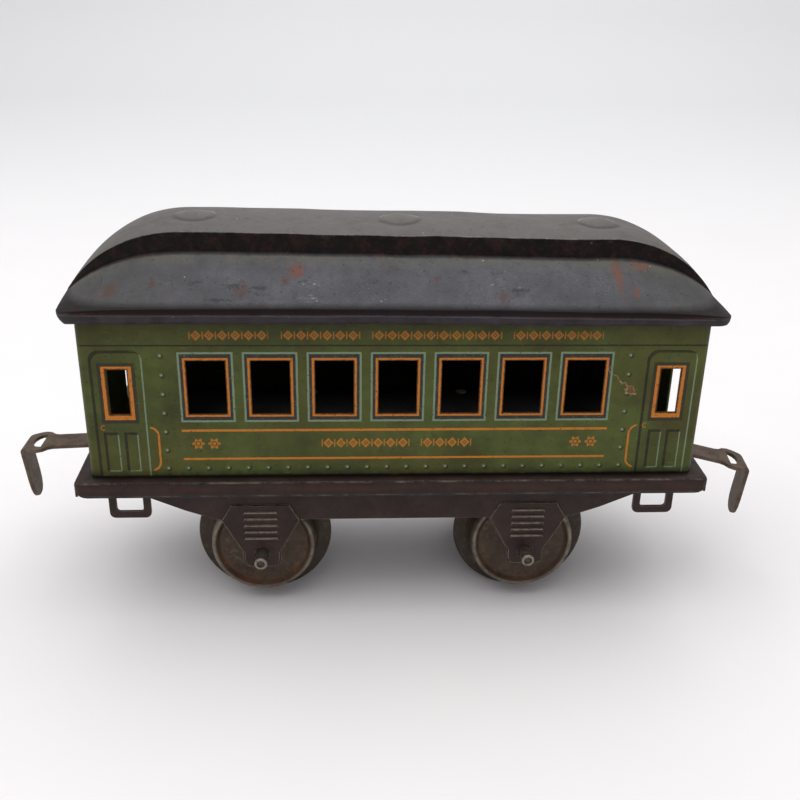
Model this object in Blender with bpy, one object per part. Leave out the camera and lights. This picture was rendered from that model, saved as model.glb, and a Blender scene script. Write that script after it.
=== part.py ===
"""A tinplate model passenger coach on two axles.

Metres, +Z up. X runs along the track, Y across it, and the origin lies on the rail plane under the
middle of the body. "near" is the -Y side and "far" the +Y side, "left" the -X end and "right" the +X end.
"""

import math

import bmesh
import bpy
from mathutils import Matrix, Vector

# Body, a folded sheet box
BODY_LENGTH = 0.128
BODY_WIDTH = 0.0508
BODY_BOTTOM = 0.0346
BODY_TOP = 0.0702
SHEET = 0.00045
GAP = 0.0003
CORNER_RADIUS = 0.0012
CORNER_RETURN = 0.0044
WALL_CLEARANCE = 0.00035
CUT_MARGIN = 0.001

# Side openings
WINDOW_COUNT = 7
WINDOW_PITCH = 0.01293
WINDOW_WIDTH = 0.0078
WINDOW_BOTTOM = 0.0487
WINDOW_TOP = 0.0603
DOOR_LIGHT_X = 0.0566
DOOR_LIGHT_WIDTH = 0.0041
DOOR_LIGHT_TOP = 0.0584

# End openings, one on each side of a solid middle panel
END_PANEL_HALF = 0.0084
END_OPENING_OUTER = 0.0176
END_OPENING_BOTTOM = 0.0375
END_OPENING_TOP = 0.0610
END_OPENING_RADIUS = 0.0020

# Tabs of the end walls, bent flat under the pan
TAB_X = BODY_LENGTH / 2 - SHEET - GAP - SHEET / 2
TAB_Y = 0.0140
TAB_WIDTH = 0.0036
TAB_REACH = 0.0042
TAB_BEND = 0.0003
TAB_TAPER = 0.0006

# Roof
EAVE_HALF_LENGTH = 0.0670
EAVE_END_BOW = 0.0014
EAVE_HALF_WIDTH = 0.0280
EAVE_CORNER_RADIUS = 0.0030
EAVE_HEIGHT = 0.0708
EAVE_NOSE = 0.0004
LIP_BOTTOM = 0.0683
LIP_TUCK = 0.0017
LOWER_RISE = 0.0081
STEP_BASE_Y = 0.0131
STEP_TOP_Y = 0.0123
STEP_TOP_RISE = 0.0117
CROWN_RISE = 0.0135
LEVEL_HALF_LENGTH = 0.0450
END_STATIONS = 9
VENT_SPACING = 0.0432
VENT_RADIUS = 0.0049
VENT_HEIGHT = 0.0006
VENT_FOOT = 0.0003
VENT_STEPS = 24

# Floor pan
PAN_HALF_LENGTH = 0.0672
PAN_END_BOW = 0.0006
PAN_HALF_WIDTH = 0.0277
PAN_CORNER_RADIUS = 0.0010
PAN_TOP = 0.03425
PAN_SHEET = 0.0005
PAN_LIP_BOTTOM = 0.0306
PAN_FOLD_RADIUS = 0.0007
LIP_END_RADIUS = 0.0026
COUPLER_NOTCH_HALF = 0.0108
COUPLER_NOTCH_TOP = 0.0331
COUPLER_NOTCH_RADIUS = 0.0010

# Side frames: sill, two pedestals and two steps in one stamping
FRAME_PLANE = 0.0246
FRAME_SHEET = 0.0006
FRAME_TOP = 0.0333
FLANGE_INNER = 0.0170
FLANGE_HALF_LENGTH = 0.0360
FLANGE_BOTTOM = FRAME_TOP - 0.00055
SILL_BOTTOM = 0.0235
STEP_OUTER = 0.0610
STEP_INNER = 0.0522
STEP_FOOT = 0.0243
STEP_BAR = 0.0016
TRUSS_KNEE = 0.0450
TRUSS_KNEE_HEIGHT = 0.0259
PEDESTAL_TOP = 0.0275
PEDESTAL_TOP_HALF = 0.0066
SHOULDER_HALF = 0.0086
SHOULDER_HEIGHT = 0.0236
NECK_HALF = 0.0055
NECK_HEIGHT = 0.0179
TAB_HALF = 0.0041
TAB_BOTTOM = 0.0117
LOUVRE_COUNT = 5
LOUVRE_PITCH = 0.0016
LOUVRE_HALF = 0.0037
LOUVRE_TOP = 0.0254
LOUVRE_PROUD = 0.0009
LOUVRE_HALF_HEIGHT = 0.0003
RAISED_MARGIN = 0.0004
RAISED_PROUD = 0.0005
STEP_CORNER_RADIUS = 0.0012
STEP_HOLE_TOP = 0.0307
STEP_HOLE_RADIUS = 0.0007
TAB_CORNER_RADIUS = 0.0015
TAB_SHOULDER_DROP = 0.0024
FRAME_RIVET_X = 0.0190
FRAME_RIVET_Y = 0.0200
RIVET_RADIUS = 0.0008
RIVET_HEAD_RADIUS = 0.0016
RIVET_STEPS = 16

# Wheelsets
WHEELBASE = 0.0581
FLANGE_RADIUS = 0.01497
TREAD_RADIUS = 0.0115
WHEEL_BACK_Y = 0.01465
WHEEL_FACE_Y = 0.0215
AXLE_RADIUS = 0.0014
AXLE_HALF_LENGTH = 0.0294
BORE_RADIUS = AXLE_RADIUS + GAP
AXLE_DIMPLE_RADIUS = 0.0009
AXLE_DIMPLE_DEPTH = 0.0006
DISH_RADIUS = 0.0097
DISH_DEPTH = 0.0011
RIM_INNER_RADIUS = 0.0106
WHEEL_SHEET = 0.0007
HUB_RADIUS = 0.0030
HUB_DEPTH = 0.0007
SLEEVE_RADIUS = 0.0026
SLEEVE_INNER_Y = 0.0090
ROUND_STEPS = 32
SMALL_ROUND_STEPS = 20

# Couplers
PIVOT_X = 0.0460
COUPLER_TOP = 0.0319
COUPLER_SHEET = 0.00085
COUPLER_HALF_WIDTH = 0.00325
COUPLER_HEAD_HALF = 0.0051
COUPLER_REACH = 0.0857
BEND_X = 0.0605
DROOP = {"left": math.radians(2.5), "right": math.radians(11)}
REST_SWING = {"left": 0.0, "right": math.radians(-8.4)}
TONGUE_LEAN = {"left": math.radians(4.5), "right": math.radians(-4.7)}
TONGUE_HALF = 0.0033
TONGUE_LENGTH = 0.0123
TONGUE_BEND_RADIUS = 0.0011
HEAD_LENGTH = 0.0060
SLOT_HALF = 0.0033
SLOT_SQUASH = 0.62
SLOT_CENTRE = 0.0033
PIVOT_RADIUS = 0.0014
PIVOT_HEAD_RADIUS = 0.0024
SPACER_RADIUS = 0.0029
GUIDE_X = 0.0550
GUIDE_SHEET = 0.0005
GUIDE_HALF_LENGTH = 0.0019
GUIDE_FOOT = 0.0116

ENDS = {"left": -1, "right": 1}
SIDES = {"near": -1, "far": 1}


def clear_scene():
    for obj in list(bpy.data.objects):
        bpy.data.objects.remove(obj, do_unlink=True)


def material(name, colour, roughness, metallic):
    made = bpy.data.materials.get(name) or bpy.data.materials.new(name)
    made.use_nodes = True
    shader = made.node_tree.nodes["Principled BSDF"]
    shader.inputs["Base Color"].default_value = (*colour, 1)
    shader.inputs["Roughness"].default_value = roughness
    shader.inputs["Metallic"].default_value = metallic
    made.diffuse_color = (*colour, 1)
    return made


def finish_mesh(name, build, finish, smooth_angle=None, origin=(0, 0, 0)):
    """Turn a bmesh, given in world coordinates, into an object whose origin is at the given point."""
    bmesh.ops.recalc_face_normals(build, faces=build.faces)
    bmesh.ops.translate(build, verts=build.verts, vec=-Vector(origin))
    mesh = bpy.data.meshes.new(name)
    build.to_mesh(mesh)
    build.free()
    if smooth_angle is not None:
        mesh.shade_smooth()
        mesh.set_sharp_from_angle(angle=math.radians(smooth_angle))
    obj = bpy.data.objects.new(name, mesh)
    obj.location = origin
    mesh.materials.append(finish)
    bpy.context.collection.objects.link(obj)
    return obj


def loft(loops, closed=False):
    """Skin a list of equal loops of points. Open lofts get a cap on each end."""
    build = bmesh.new()
    rings = [[build.verts.new(point) for point in loop] for loop in loops]
    pairs = list(zip(rings, rings[1:]))
    if closed:
        pairs.append((rings[-1], rings[0]))
    for low, high in pairs:
        for i in range(len(low)):
            j = (i + 1) % len(low)
            build.faces.new((low[i], low[j], high[j], high[i]))
    if not closed:
        build.faces.new(reversed(rings[0]))
        build.faces.new(rings[-1])
    return build


def prism(outline, axis, low, high):
    """Extrude an outline of two-number points along an axis, between two heights on it."""
    def place(point, height):
        if axis == "x":
            return (height, point[0], point[1])
        if axis == "y":
            return (point[0], height, point[1])
        return (point[0], point[1], height)

    return loft([[place(point, height) for point in outline] for height in (low, high)])


def box(low, high):
    outline = [(low[0], low[1]), (high[0], low[1]), (high[0], high[1]), (low[0], high[1])]
    return prism(outline, "z", low[2], high[2])


def round_corner(centre, radius, start, sweep, steps=4):
    """Points on an arc, in degrees, both ends included."""
    angles = [math.radians(start + sweep * i / steps) for i in range(steps + 1)]
    return [(centre[0] + radius * math.cos(a), centre[1] + radius * math.sin(a)) for a in angles]


def rounded_rectangle(low, high, radius, steps=4):
    inner = (low[0] + radius, low[1] + radius, high[0] - radius, high[1] - radius)
    return (
        round_corner((inner[2], inner[3]), radius, 0, 90, steps)
        + round_corner((inner[0], inner[3]), radius, 90, 90, steps)
        + round_corner((inner[0], inner[1]), radius, 180, 90, steps)
        + round_corner((inner[2], inner[1]), radius, 270, 90, steps)
    )


def circle(centre, radius, axis, along, steps=ROUND_STEPS):
    """A ring of points about an axis line parallel to Y or Z."""
    angles = [2 * math.pi * i / steps for i in range(steps)]
    if axis == "y":
        return [
            (centre[0] + radius * math.cos(a), along, centre[1] + radius * math.sin(a)) for a in angles
        ]
    return [(centre[0] + radius * math.cos(a), centre[1] + radius * math.sin(a), along) for a in angles]


def turned(profile, centre, axis, closed=False, steps=ROUND_STEPS):
    """Turn a profile of (radius, height) points about a line parallel to Y or Z."""
    return loft([circle(centre, radius, axis, height, steps) for radius, height in profile], closed)


def join(parts):
    whole = bmesh.new()
    for part in parts:
        part_mesh = bpy.data.meshes.new("joined")
        bmesh.ops.recalc_face_normals(part, faces=part.faces)
        part.to_mesh(part_mesh)
        part.free()
        whole.from_mesh(part_mesh)
        bpy.data.meshes.remove(part_mesh)
    return whole


def boolean(obj, tool_parts, operation):
    """Cut or add shapes. The tool shares its target's origin, is hidden and stays out of the part."""
    count = sum(1 for modifier in obj.modifiers if modifier.type == "BOOLEAN")
    finish = obj.data.materials[0]
    tool = finish_mesh(f"{obj.name}_tool_{count}", join(tool_parts), finish, origin=obj.location)
    tool.hide_render = True
    tool.display_type = "WIRE"
    modifier = obj.modifiers.new(f"{operation.lower()}_{count}", "BOOLEAN")
    modifier.operation = operation
    modifier.solver = "EXACT"
    modifier.use_self = operation == "UNION"
    modifier.object = tool


def strap(path, widths, thickness, across):
    """A bent strip: its middle line lies in a plane with Z, its width runs along the other level axis."""
    loops = []
    for i, (u, z) in enumerate(path):
        before = path[max(i - 1, 0)]
        after = path[min(i + 1, len(path) - 1)]
        direction = Vector((after[0] - before[0], after[1] - before[1])).normalized()
        normal = Vector((-direction.y, direction.x)) * thickness / 2
        corners = []
        for side, face in ((-1, -1), (1, -1), (1, 1), (-1, 1)):
            level = u + face * normal.x
            height = z + face * normal.y
            wide = side * widths[i]
            corners.append((level, wide, height) if across == "y" else (wide, level, height))
        loops.append(corners)
    return loft(loops)


def side_wall(side):
    """A flat side with rounded upright corners and short returns on to the ends, and its window openings."""
    out = SIDES[side]
    half_length = BODY_LENGTH / 2
    half_width = BODY_WIDTH / 2
    inner = CORNER_RADIUS - SHEET
    right = (half_length - CORNER_RADIUS, half_width - CORNER_RADIUS)
    left = (-right[0], right[1])
    outer_path = [(half_length, half_width - CORNER_RETURN)]
    outer_path += round_corner(right, CORNER_RADIUS, 0, 90)
    outer_path += round_corner(left, CORNER_RADIUS, 90, 90)
    outer_path += [(-half_length, half_width - CORNER_RETURN)]
    inner_path = [(-half_length + SHEET, half_width - CORNER_RETURN)]
    inner_path += round_corner(left, inner, 180, -90)
    inner_path += round_corner(right, inner, 90, -90)
    inner_path += [(half_length - SHEET, half_width - CORNER_RETURN)]
    outline = [(x, out * y) for x, y in outer_path + inner_path]
    wall = finish_mesh(f"side_wall_{side}", prism(outline, "z", BODY_BOTTOM, BODY_TOP), BODY_PAINT)
    openings = []
    for i in range(WINDOW_COUNT):
        x = (i - (WINDOW_COUNT - 1) / 2) * WINDOW_PITCH
        openings.append((x, WINDOW_WIDTH, WINDOW_TOP))
    openings += [(sign * DOOR_LIGHT_X, DOOR_LIGHT_WIDTH, DOOR_LIGHT_TOP) for sign in (-1, 1)]
    depth = sorted((out * (half_width - CUT_MARGIN), out * (half_width + CUT_MARGIN)))
    cutters = [
        box((x - width / 2, depth[0], WINDOW_BOTTOM), (x + width / 2, depth[1], top))
        for x, width, top in openings
    ]
    boolean(wall, cutters, "DIFFERENCE")


def end_wall(end):
    """A flat end with a tall opening on each side of its middle panel."""
    out = ENDS[end]
    outer_x = BODY_LENGTH / 2 - SHEET - GAP
    half_y = BODY_WIDTH / 2 - SHEET - WALL_CLEARANCE
    faces = sorted((out * outer_x, out * (outer_x - SHEET)))
    wall = finish_mesh(
        f"end_wall_{end}",
        box((faces[0], -half_y, BODY_BOTTOM), (faces[1], half_y, BODY_TOP)),
        BODY_PAINT,
    )
    opening = rounded_rectangle(
        (END_PANEL_HALF, END_OPENING_BOTTOM), (END_OPENING_OUTER, END_OPENING_TOP), END_OPENING_RADIUS
    )
    mirrored = [(-y, z) for y, z in opening]
    ends = (faces[0] - CUT_MARGIN, faces[1] + CUT_MARGIN)
    cutters = [prism(outline, "x", *ends) for outline in (opening, mirrored)]
    boolean(wall, cutters, "DIFFERENCE")


def roof_columns():
    """Half of the roof's cross section, from the eave in to the middle: (y, rise above the eave)."""
    slope_run = EAVE_HALF_WIDTH - STEP_BASE_Y
    columns = []
    for share in (0, 0.035, 0.1, 0.2, 0.45, 0.72, 1):
        columns.append((EAVE_HALF_WIDTH - share * slope_run, LOWER_RISE * share**0.9))
    crown = CROWN_RISE - STEP_TOP_RISE
    for share in (1, 0.9, 0.6, 0.3, 0):
        columns.append((STEP_TOP_Y * share, CROWN_RISE - crown * share**2.2))
    return columns


def eave_half_length(y):
    """Half the roof's length at a distance from the middle, with bowed ends and rounded corners."""
    bow = EAVE_END_BOW * (1 - (y / EAVE_HALF_WIDTH) ** 2)
    into_corner = max(0, abs(y) - (EAVE_HALF_WIDTH - EAVE_CORNER_RADIUS))
    inset = EAVE_CORNER_RADIUS - math.sqrt(EAVE_CORNER_RADIUS**2 - into_corner**2)
    return EAVE_HALF_LENGTH + bow - inset


def roof_point(station, y, rise):
    """station runs from -1 at one end eave to 1 at the other; the level middle is the part within 0.5."""
    end_run = EAVE_HALF_LENGTH + EAVE_END_BOW - LEVEL_HALF_LENGTH
    end_radius = (end_run**2 + CROWN_RISE**2) / (2 * CROWN_RISE)
    size = abs(station)
    if size <= 0.5:
        x = 2 * size * LEVEL_HALF_LENGTH
        level = 1
    else:
        along = 2 * (size - 0.5)
        x = LEVEL_HALF_LENGTH + along * (eave_half_length(y) - LEVEL_HALF_LENGTH)
        drop = end_radius - math.sqrt(end_radius**2 - (along * end_run) ** 2)
        level = 1 - drop / CROWN_RISE
    return Vector((math.copysign(x, station), y, EAVE_HEIGHT + rise * level))


def roof():
    """A pressed sheet: sloping lower roof, raised clerestory, rounded ends and a lip tucked in all round."""
    half = roof_columns()
    columns = [(-y, rise) for y, rise in half] + [(y, rise) for y, rise in reversed(half[:-1])]
    ends = [0.5 + 0.5 * (i / END_STATIONS) ** 0.8 for i in range(1, END_STATIONS + 1)]
    stations = [-s for s in reversed(ends)] + [-0.5, -0.17, 0.17, 0.5] + ends
    build = bmesh.new()
    outer = [[build.verts.new(roof_point(s, y, rise)) for y, rise in columns] for s in stations]
    for i in range(len(stations) - 1):
        for j in range(len(columns) - 1):
            build.faces.new((outer[i][j], outer[i + 1][j], outer[i + 1][j + 1], outer[i][j + 1]))
    build.normal_update()
    inner = [[build.verts.new(v.co - SHEET * v.normal) for v in row] for row in outer]
    for i in range(len(stations) - 1):
        for j in range(len(columns) - 1):
            build.faces.new((inner[i][j], inner[i][j + 1], inner[i + 1][j + 1], inner[i + 1][j]))

    def border(grid):
        loop = [row[0] for row in grid] + grid[-1][1:]
        return loop + [row[-1] for row in reversed(grid[:-1])] + list(reversed(grid[0][1:-1]))

    def tucked(loop, inset, height):
        points = []
        for i, vert in enumerate(loop):
            along = loop[(i + 1) % len(loop)].co - loop[i - 1].co
            inwards = Vector((-along.y, along.x, 0)).normalized()
            points.append(build.verts.new(Vector((vert.co.x, vert.co.y, height)) + inset * inwards))
        return points

    outer_edge = border(outer)
    inner_edge = border(inner)
    rows = [
        outer_edge,
        tucked(outer_edge, 0, EAVE_HEIGHT - EAVE_NOSE),
        tucked(outer_edge, LIP_TUCK, LIP_BOTTOM),
        tucked(outer_edge, LIP_TUCK + SHEET, LIP_BOTTOM),
        inner_edge,
    ]
    for low, high in zip(rows, rows[1:]):
        for i in range(len(low)):
            j = (i + 1) % len(low)
            build.faces.new((low[i], low[j], high[j], high[i]))
    shell = finish_mesh("roof", build, ROOF_ENAMEL, smooth_angle=40)
    boolean(shell, [vent(i * VENT_SPACING) for i in (-1, 0, 1)], "UNION")


def vent(x):
    """A low round ventilator pressed up from the roof's deck, as a solid cap."""
    base = EAVE_HEIGHT + CROWN_RISE
    profile = [(VENT_RADIUS, base - VENT_FOOT), (VENT_RADIUS, base - VENT_FOOT / 3)]
    for share in (0.85, 0.6, 0.3):
        profile.append((VENT_RADIUS * share, base + VENT_HEIGHT * (1 - share**2.5)))
    return turned(profile, (x, 0), "z", steps=VENT_STEPS)


def pan_outline(inset):
    """The floor pan's plan, with slightly bowed ends and small corners."""
    points = []
    radius = PAN_CORNER_RADIUS - min(inset, 0.0006)
    half_y = PAN_HALF_WIDTH - inset
    steps = 6
    for sign_x, sign_y in ((1, 1), (-1, 1), (-1, -1), (1, -1)):
        start = {(1, 1): 0, (-1, 1): 90, (-1, -1): 180, (1, -1): 270}[(sign_x, sign_y)]
        corner = (sign_x * (PAN_HALF_LENGTH - inset - radius), sign_y * (half_y - radius))
        points += round_corner(corner, radius, start, 90, 3)
        if sign_x == -1 and sign_y == 1 or sign_x == 1 and sign_y == -1:
            run = half_y - radius
            for i in range(1, steps):
                y = sign_y * run * (1 - 2 * i / steps)
                bow = PAN_END_BOW * (1 - (y / run) ** 2)
                points.append((sign_x * (PAN_HALF_LENGTH - inset + bow), y))
    return points


def floor_pan():
    """A sheet platform with its edges folded down, notched at the ends where the couplers pass."""
    def ring(inset, height):
        return [(x, y, height) for x, y in pan_outline(inset)]

    fold = PAN_FOLD_RADIUS
    loops = [
        ring(PAN_SHEET + fold * 0.3, PAN_TOP - PAN_SHEET),
        ring(PAN_SHEET, PAN_TOP - PAN_SHEET - fold * 0.3),
        ring(PAN_SHEET, PAN_LIP_BOTTOM),
        ring(0, PAN_LIP_BOTTOM),
        ring(0, PAN_TOP - fold),
        ring(fold * 0.3, PAN_TOP - fold * 0.3),
        ring(fold, PAN_TOP),
    ]
    pan = finish_mesh("floor_pan", loft(loops), FRAME_ENAMEL)
    cutters = []
    for out in (-1, 1):
        ends = sorted((out * (PAN_HALF_LENGTH - 2 * PAN_SHEET), out * (PAN_HALF_LENGTH + 2 * CUT_MARGIN)))
        low = PAN_LIP_BOTTOM - 2 * CUT_MARGIN
        notch = rounded_rectangle(
            (-COUPLER_NOTCH_HALF, low), (COUPLER_NOTCH_HALF, COUPLER_NOTCH_TOP), COUPLER_NOTCH_RADIUS, 3
        )
        cutters.append(prism(notch, "x", *ends))
        through = (PAN_TOP - PAN_SHEET - CUT_MARGIN, PAN_TOP + CUT_MARGIN)
        bore = [(BORE_RADIUS, height) for height in through]
        cutters.append(turned(bore, (out * PIVOT_X, 0), "z", steps=SMALL_ROUND_STEPS))
        corner = (out * (PAN_HALF_LENGTH - LIP_END_RADIUS), PAN_LIP_BOTTOM + LIP_END_RADIUS)
        arc = round_corner(corner, LIP_END_RADIUS, -90, 90 * out, 5)
        beyond = out * (PAN_HALF_LENGTH + 2 * CUT_MARGIN)
        outside = [(beyond, corner[1]), (beyond, low), (corner[0], low)]
        for side in (-1, 1):
            band = sorted((side * (PAN_HALF_WIDTH - 1.5 * PAN_SHEET), side * (PAN_HALF_WIDTH + CUT_MARGIN)))
            cutters.append(prism(arc + outside, "y", *band))
            slot_y = sorted((side * (TAB_Y - TAB_WIDTH / 2 - GAP), side * (TAB_Y + TAB_WIDTH / 2 + GAP)))
            slot_x = sorted((out * (TAB_X - SHEET / 2 - GAP), out * (TAB_X + SHEET / 2 + GAP)))
            cutters.append(box((slot_x[0], slot_y[0], through[0]), (slot_x[1], slot_y[1], through[1])))
            rivet = (out * FRAME_RIVET_X, side * FRAME_RIVET_Y)
            hole = [(RIVET_RADIUS + GAP, height) for height in through]
            cutters.append(turned(hole, rivet, "z", steps=RIVET_STEPS))
    boolean(pan, cutters, "DIFFERENCE")


def pedestal_outline(x, margin=0.0):
    """The raised part of a pedestal, in X and Z: shoulders, neck and the rounded tab around the axle."""
    half = [
        (PEDESTAL_TOP_HALF - margin, PEDESTAL_TOP - margin),
        (SHOULDER_HALF - margin, SHOULDER_HEIGHT),
        (NECK_HALF - margin, NECK_HEIGHT),
        (TAB_HALF - margin, NECK_HEIGHT - TAB_SHOULDER_DROP),
    ]
    tab = (TAB_HALF - margin - TAB_CORNER_RADIUS, TAB_BOTTOM + margin + TAB_CORNER_RADIUS)
    half += round_corner(tab, TAB_CORNER_RADIUS, 0, -90, 3)
    right = [(x + px, pz) for px, pz in half]
    return right + [(x - px, pz) for px, pz in reversed(half)]


def frame_outline():
    """The whole stamping's outline, one half mirrored: step, truss, pedestal foot and sill."""
    axle = WHEELBASE / 2
    half = [(0, SILL_BOTTOM), (axle - SHOULDER_HALF - 0.0006, SILL_BOTTOM)]
    half += [(x, z) for x, z in reversed(pedestal_outline(axle)) if z < SHOULDER_HEIGHT + 0.0001]
    half += [
        (axle + SHOULDER_HALF + 0.0005, SILL_BOTTOM),
        (TRUSS_KNEE, TRUSS_KNEE_HEIGHT),
        (STEP_INNER, 0.0290),
    ]
    radius = STEP_CORNER_RADIUS
    half += round_corner((STEP_INNER + radius, STEP_FOOT + radius), radius, 180, 90, 3)
    half += round_corner((STEP_OUTER - radius, STEP_FOOT + radius), radius, 270, 90, 3)
    half += [(STEP_OUTER, FRAME_TOP)]
    return half + [(-x, z) for x, z in reversed(half[1:])]


def side_frame(side):
    """Sill, pedestals with louvre ribs and axle holes, loop steps, and a flange riveted under the pan."""
    out = SIDES[side]

    def span(low, high):
        return sorted((out * low, out * high))

    outer = FRAME_PLANE + FRAME_SHEET / 2
    inner = FRAME_PLANE - FRAME_SHEET / 2
    frame = finish_mesh(f"side_frame_{side}", prism(frame_outline(), "y", *span(inner, outer)), FRAME_ENAMEL)
    raised = []
    flange_y = span(FLANGE_INNER, FRAME_PLANE + FRAME_SHEET / 6)
    raised.append(
        box(
            (-FLANGE_HALF_LENGTH, flange_y[0], FLANGE_BOTTOM),
            (FLANGE_HALF_LENGTH, flange_y[1], FLANGE_BOTTOM + FRAME_SHEET),
        )
    )
    for axle in (-WHEELBASE / 2, WHEELBASE / 2):
        plate = pedestal_outline(axle, RAISED_MARGIN)
        raised.append(prism(plate, "y", *span(FRAME_PLANE, outer + RAISED_PROUD)))
        for i in range(LOUVRE_COUNT):
            middle = LOUVRE_TOP - i * LOUVRE_PITCH
            low = middle - LOUVRE_HALF_HEIGHT
            high = middle + LOUVRE_HALF_HEIGHT
            top_half = LOUVRE_HALF - LOUVRE_HALF_HEIGHT
            rib = [(axle - LOUVRE_HALF, low), (axle + LOUVRE_HALF, low)]
            rib += [(axle + top_half, high), (axle - top_half, high)]
            raised.append(prism(rib, "y", *span(outer + RAISED_PROUD / 2, outer + LOUVRE_PROUD)))
    boolean(frame, raised, "UNION")
    cutters = []
    for out_x in (-1, 1):
        sides = sorted((out_x * (STEP_INNER + STEP_BAR), out_x * (STEP_OUTER - STEP_BAR)))
        hole = rounded_rectangle(
            (sides[0], STEP_FOOT + STEP_BAR), (sides[1], STEP_HOLE_TOP), STEP_HOLE_RADIUS
        )
        depths = span(inner - CUT_MARGIN, outer + RAISED_PROUD + CUT_MARGIN)
        cutters.append(prism(hole, "y", *depths))
        axle = (out_x * WHEELBASE / 2, FLANGE_RADIUS)
        cutters.append(turned([(BORE_RADIUS, depth) for depth in depths], axle, "y", steps=SMALL_ROUND_STEPS))
        rivet = (out_x * FRAME_RIVET_X, out * FRAME_RIVET_Y)
        heights = (FLANGE_BOTTOM - CUT_MARGIN, FRAME_TOP + CUT_MARGIN)
        hole = [(RIVET_RADIUS + GAP, height) for height in heights]
        cutters.append(turned(hole, rivet, "z", steps=RIVET_STEPS))
    boolean(frame, cutters, "DIFFERENCE")


def wheelset(end):
    """An axle with hollow ends, two pressed wheels open at the back, and a sleeve inside each wheel."""
    centre = (ENDS[end] * WHEELBASE / 2, FLANGE_RADIUS)
    origin = (centre[0], 0, centre[1])
    tip = AXLE_HALF_LENGTH
    axle_profile = [
        (AXLE_DIMPLE_RADIUS - 0.0001, tip - AXLE_DIMPLE_DEPTH),
        (AXLE_DIMPLE_RADIUS, tip),
        (AXLE_RADIUS - 0.0002, tip),
        (AXLE_RADIUS, tip - 0.0003),
    ]
    profile = [(r, -h) for r, h in axle_profile] + list(reversed(axle_profile))
    axle = turned(profile, centre, "y", steps=SMALL_ROUND_STEPS)
    finish_mesh(f"axle_{end}", axle, AXLE_STEEL, 40, origin)
    for side, out in SIDES.items():
        back = WHEEL_BACK_Y
        face = WHEEL_FACE_Y
        inside = face - DISH_DEPTH - WHEEL_SHEET
        wheel_profile = [
            (BORE_RADIUS, face - HUB_DEPTH),
            (HUB_RADIUS, face - HUB_DEPTH),
            (HUB_RADIUS + 0.0010, face - DISH_DEPTH),
            (DISH_RADIUS, face - DISH_DEPTH),
            (DISH_RADIUS + 0.0005, face - 0.0003),
            (RIM_INNER_RADIUS, face),
            (TREAD_RADIUS - 0.0004, face - 0.0001),
            (TREAD_RADIUS, face - 0.0006),
            (TREAD_RADIUS + 0.0003, back + 0.0018),
            (TREAD_RADIUS + 0.0009, back + 0.0009),
            (FLANGE_RADIUS - 0.0003, back + 0.00085),
            (FLANGE_RADIUS, back + 0.0005),
            (FLANGE_RADIUS, back + 0.0003),
            (FLANGE_RADIUS - 0.0003, back),
            (TREAD_RADIUS + 0.0005, back),
            (TREAD_RADIUS - 0.0005, back + 0.0010),
            (TREAD_RADIUS - 0.0008, inside),
            (BORE_RADIUS, inside),
        ]
        placed = [(r, out * h) for r, h in wheel_profile]
        finish_mesh(f"wheel_{side}_{end}", turned(placed, centre, "y", True), WHEEL_TIN, 35, origin)
        sleeve_ends = (SLEEVE_INNER_Y, inside - GAP)
        sleeve = [(BORE_RADIUS, out * sleeve_ends[0]), (SLEEVE_RADIUS, out * sleeve_ends[0])]
        sleeve += [(SLEEVE_RADIUS, out * sleeve_ends[1]), (BORE_RADIUS, out * sleeve_ends[1])]
        tube = turned(sleeve, centre, "y", True, SMALL_ROUND_STEPS)
        finish_mesh(f"axle_sleeve_{side}_{end}", tube, AXLE_STEEL, 35, origin)


def coupler_path(end):
    """The coupler's middle line in X and Z, with half widths, from its round pivot end to the tip."""
    out = ENDS[end]
    droop = DROOP[end]
    half = COUPLER_HALF_WIDTH
    level = COUPLER_TOP - COUPLER_SHEET / 2
    stations = []
    for share in (-1, -0.94, -0.75, -0.4, 0):
        stations.append((PIVOT_X + share * half, level, half * math.sqrt(max(1 - share**2, 0.02))))
    stations.append((BEND_X - 0.001, level, half))

    def arm(distance):
        return (BEND_X + distance * math.cos(droop), level - distance * math.sin(droop))

    bend_radius = TONGUE_BEND_RADIUS
    tongue_turn = math.radians(90) + TONGUE_LEAN[end]
    head_end = (COUPLER_REACH - COUPLER_SHEET / 2 - BEND_X - bend_radius) / math.cos(droop)
    head_start = head_end - HEAD_LENGTH
    neck_half = 0.76 * COUPLER_HEAD_HALF
    stations.append((*arm(0.001), half))
    stations.append((*arm(head_start), half))
    for along, wide in ((0.17, 0.7), (0.35, 0.92), (0.57, 1), (0.8, 0.92), (1, 0.76)):
        stations.append((*arm(head_start + along * HEAD_LENGTH), wide * COUPLER_HEAD_HALF))
    centre_x, centre_z = arm(head_end)
    centre = Vector((centre_x - bend_radius * math.sin(droop), centre_z - bend_radius * math.cos(droop)))
    for i in range(1, 5):
        turn = droop + (tongue_turn) * i / 4
        point = centre + bend_radius * Vector((math.sin(turn), math.cos(turn)))
        narrowing = (neck_half - TONGUE_HALF) * i / 4
        stations.append((point.x, point.y, neck_half - narrowing))
    end_turn = droop + tongue_turn
    heading = Vector((math.cos(end_turn), -math.sin(end_turn)))
    start = Vector(stations[-1][:2])
    for along, wide in ((0.6, 1), (0.78, 0.93), (0.9, 0.75), (0.97, 0.5), (1, 0.2)):
        point = start + heading * along * TONGUE_LENGTH
        stations.append((point.x, point.y, TONGUE_HALF * wide))
    path = [(out * x, z) for x, z, _ in stations]
    widths = [wide for _, _, wide in stations]
    return path, widths, arm(head_start + SLOT_CENTRE)


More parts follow.
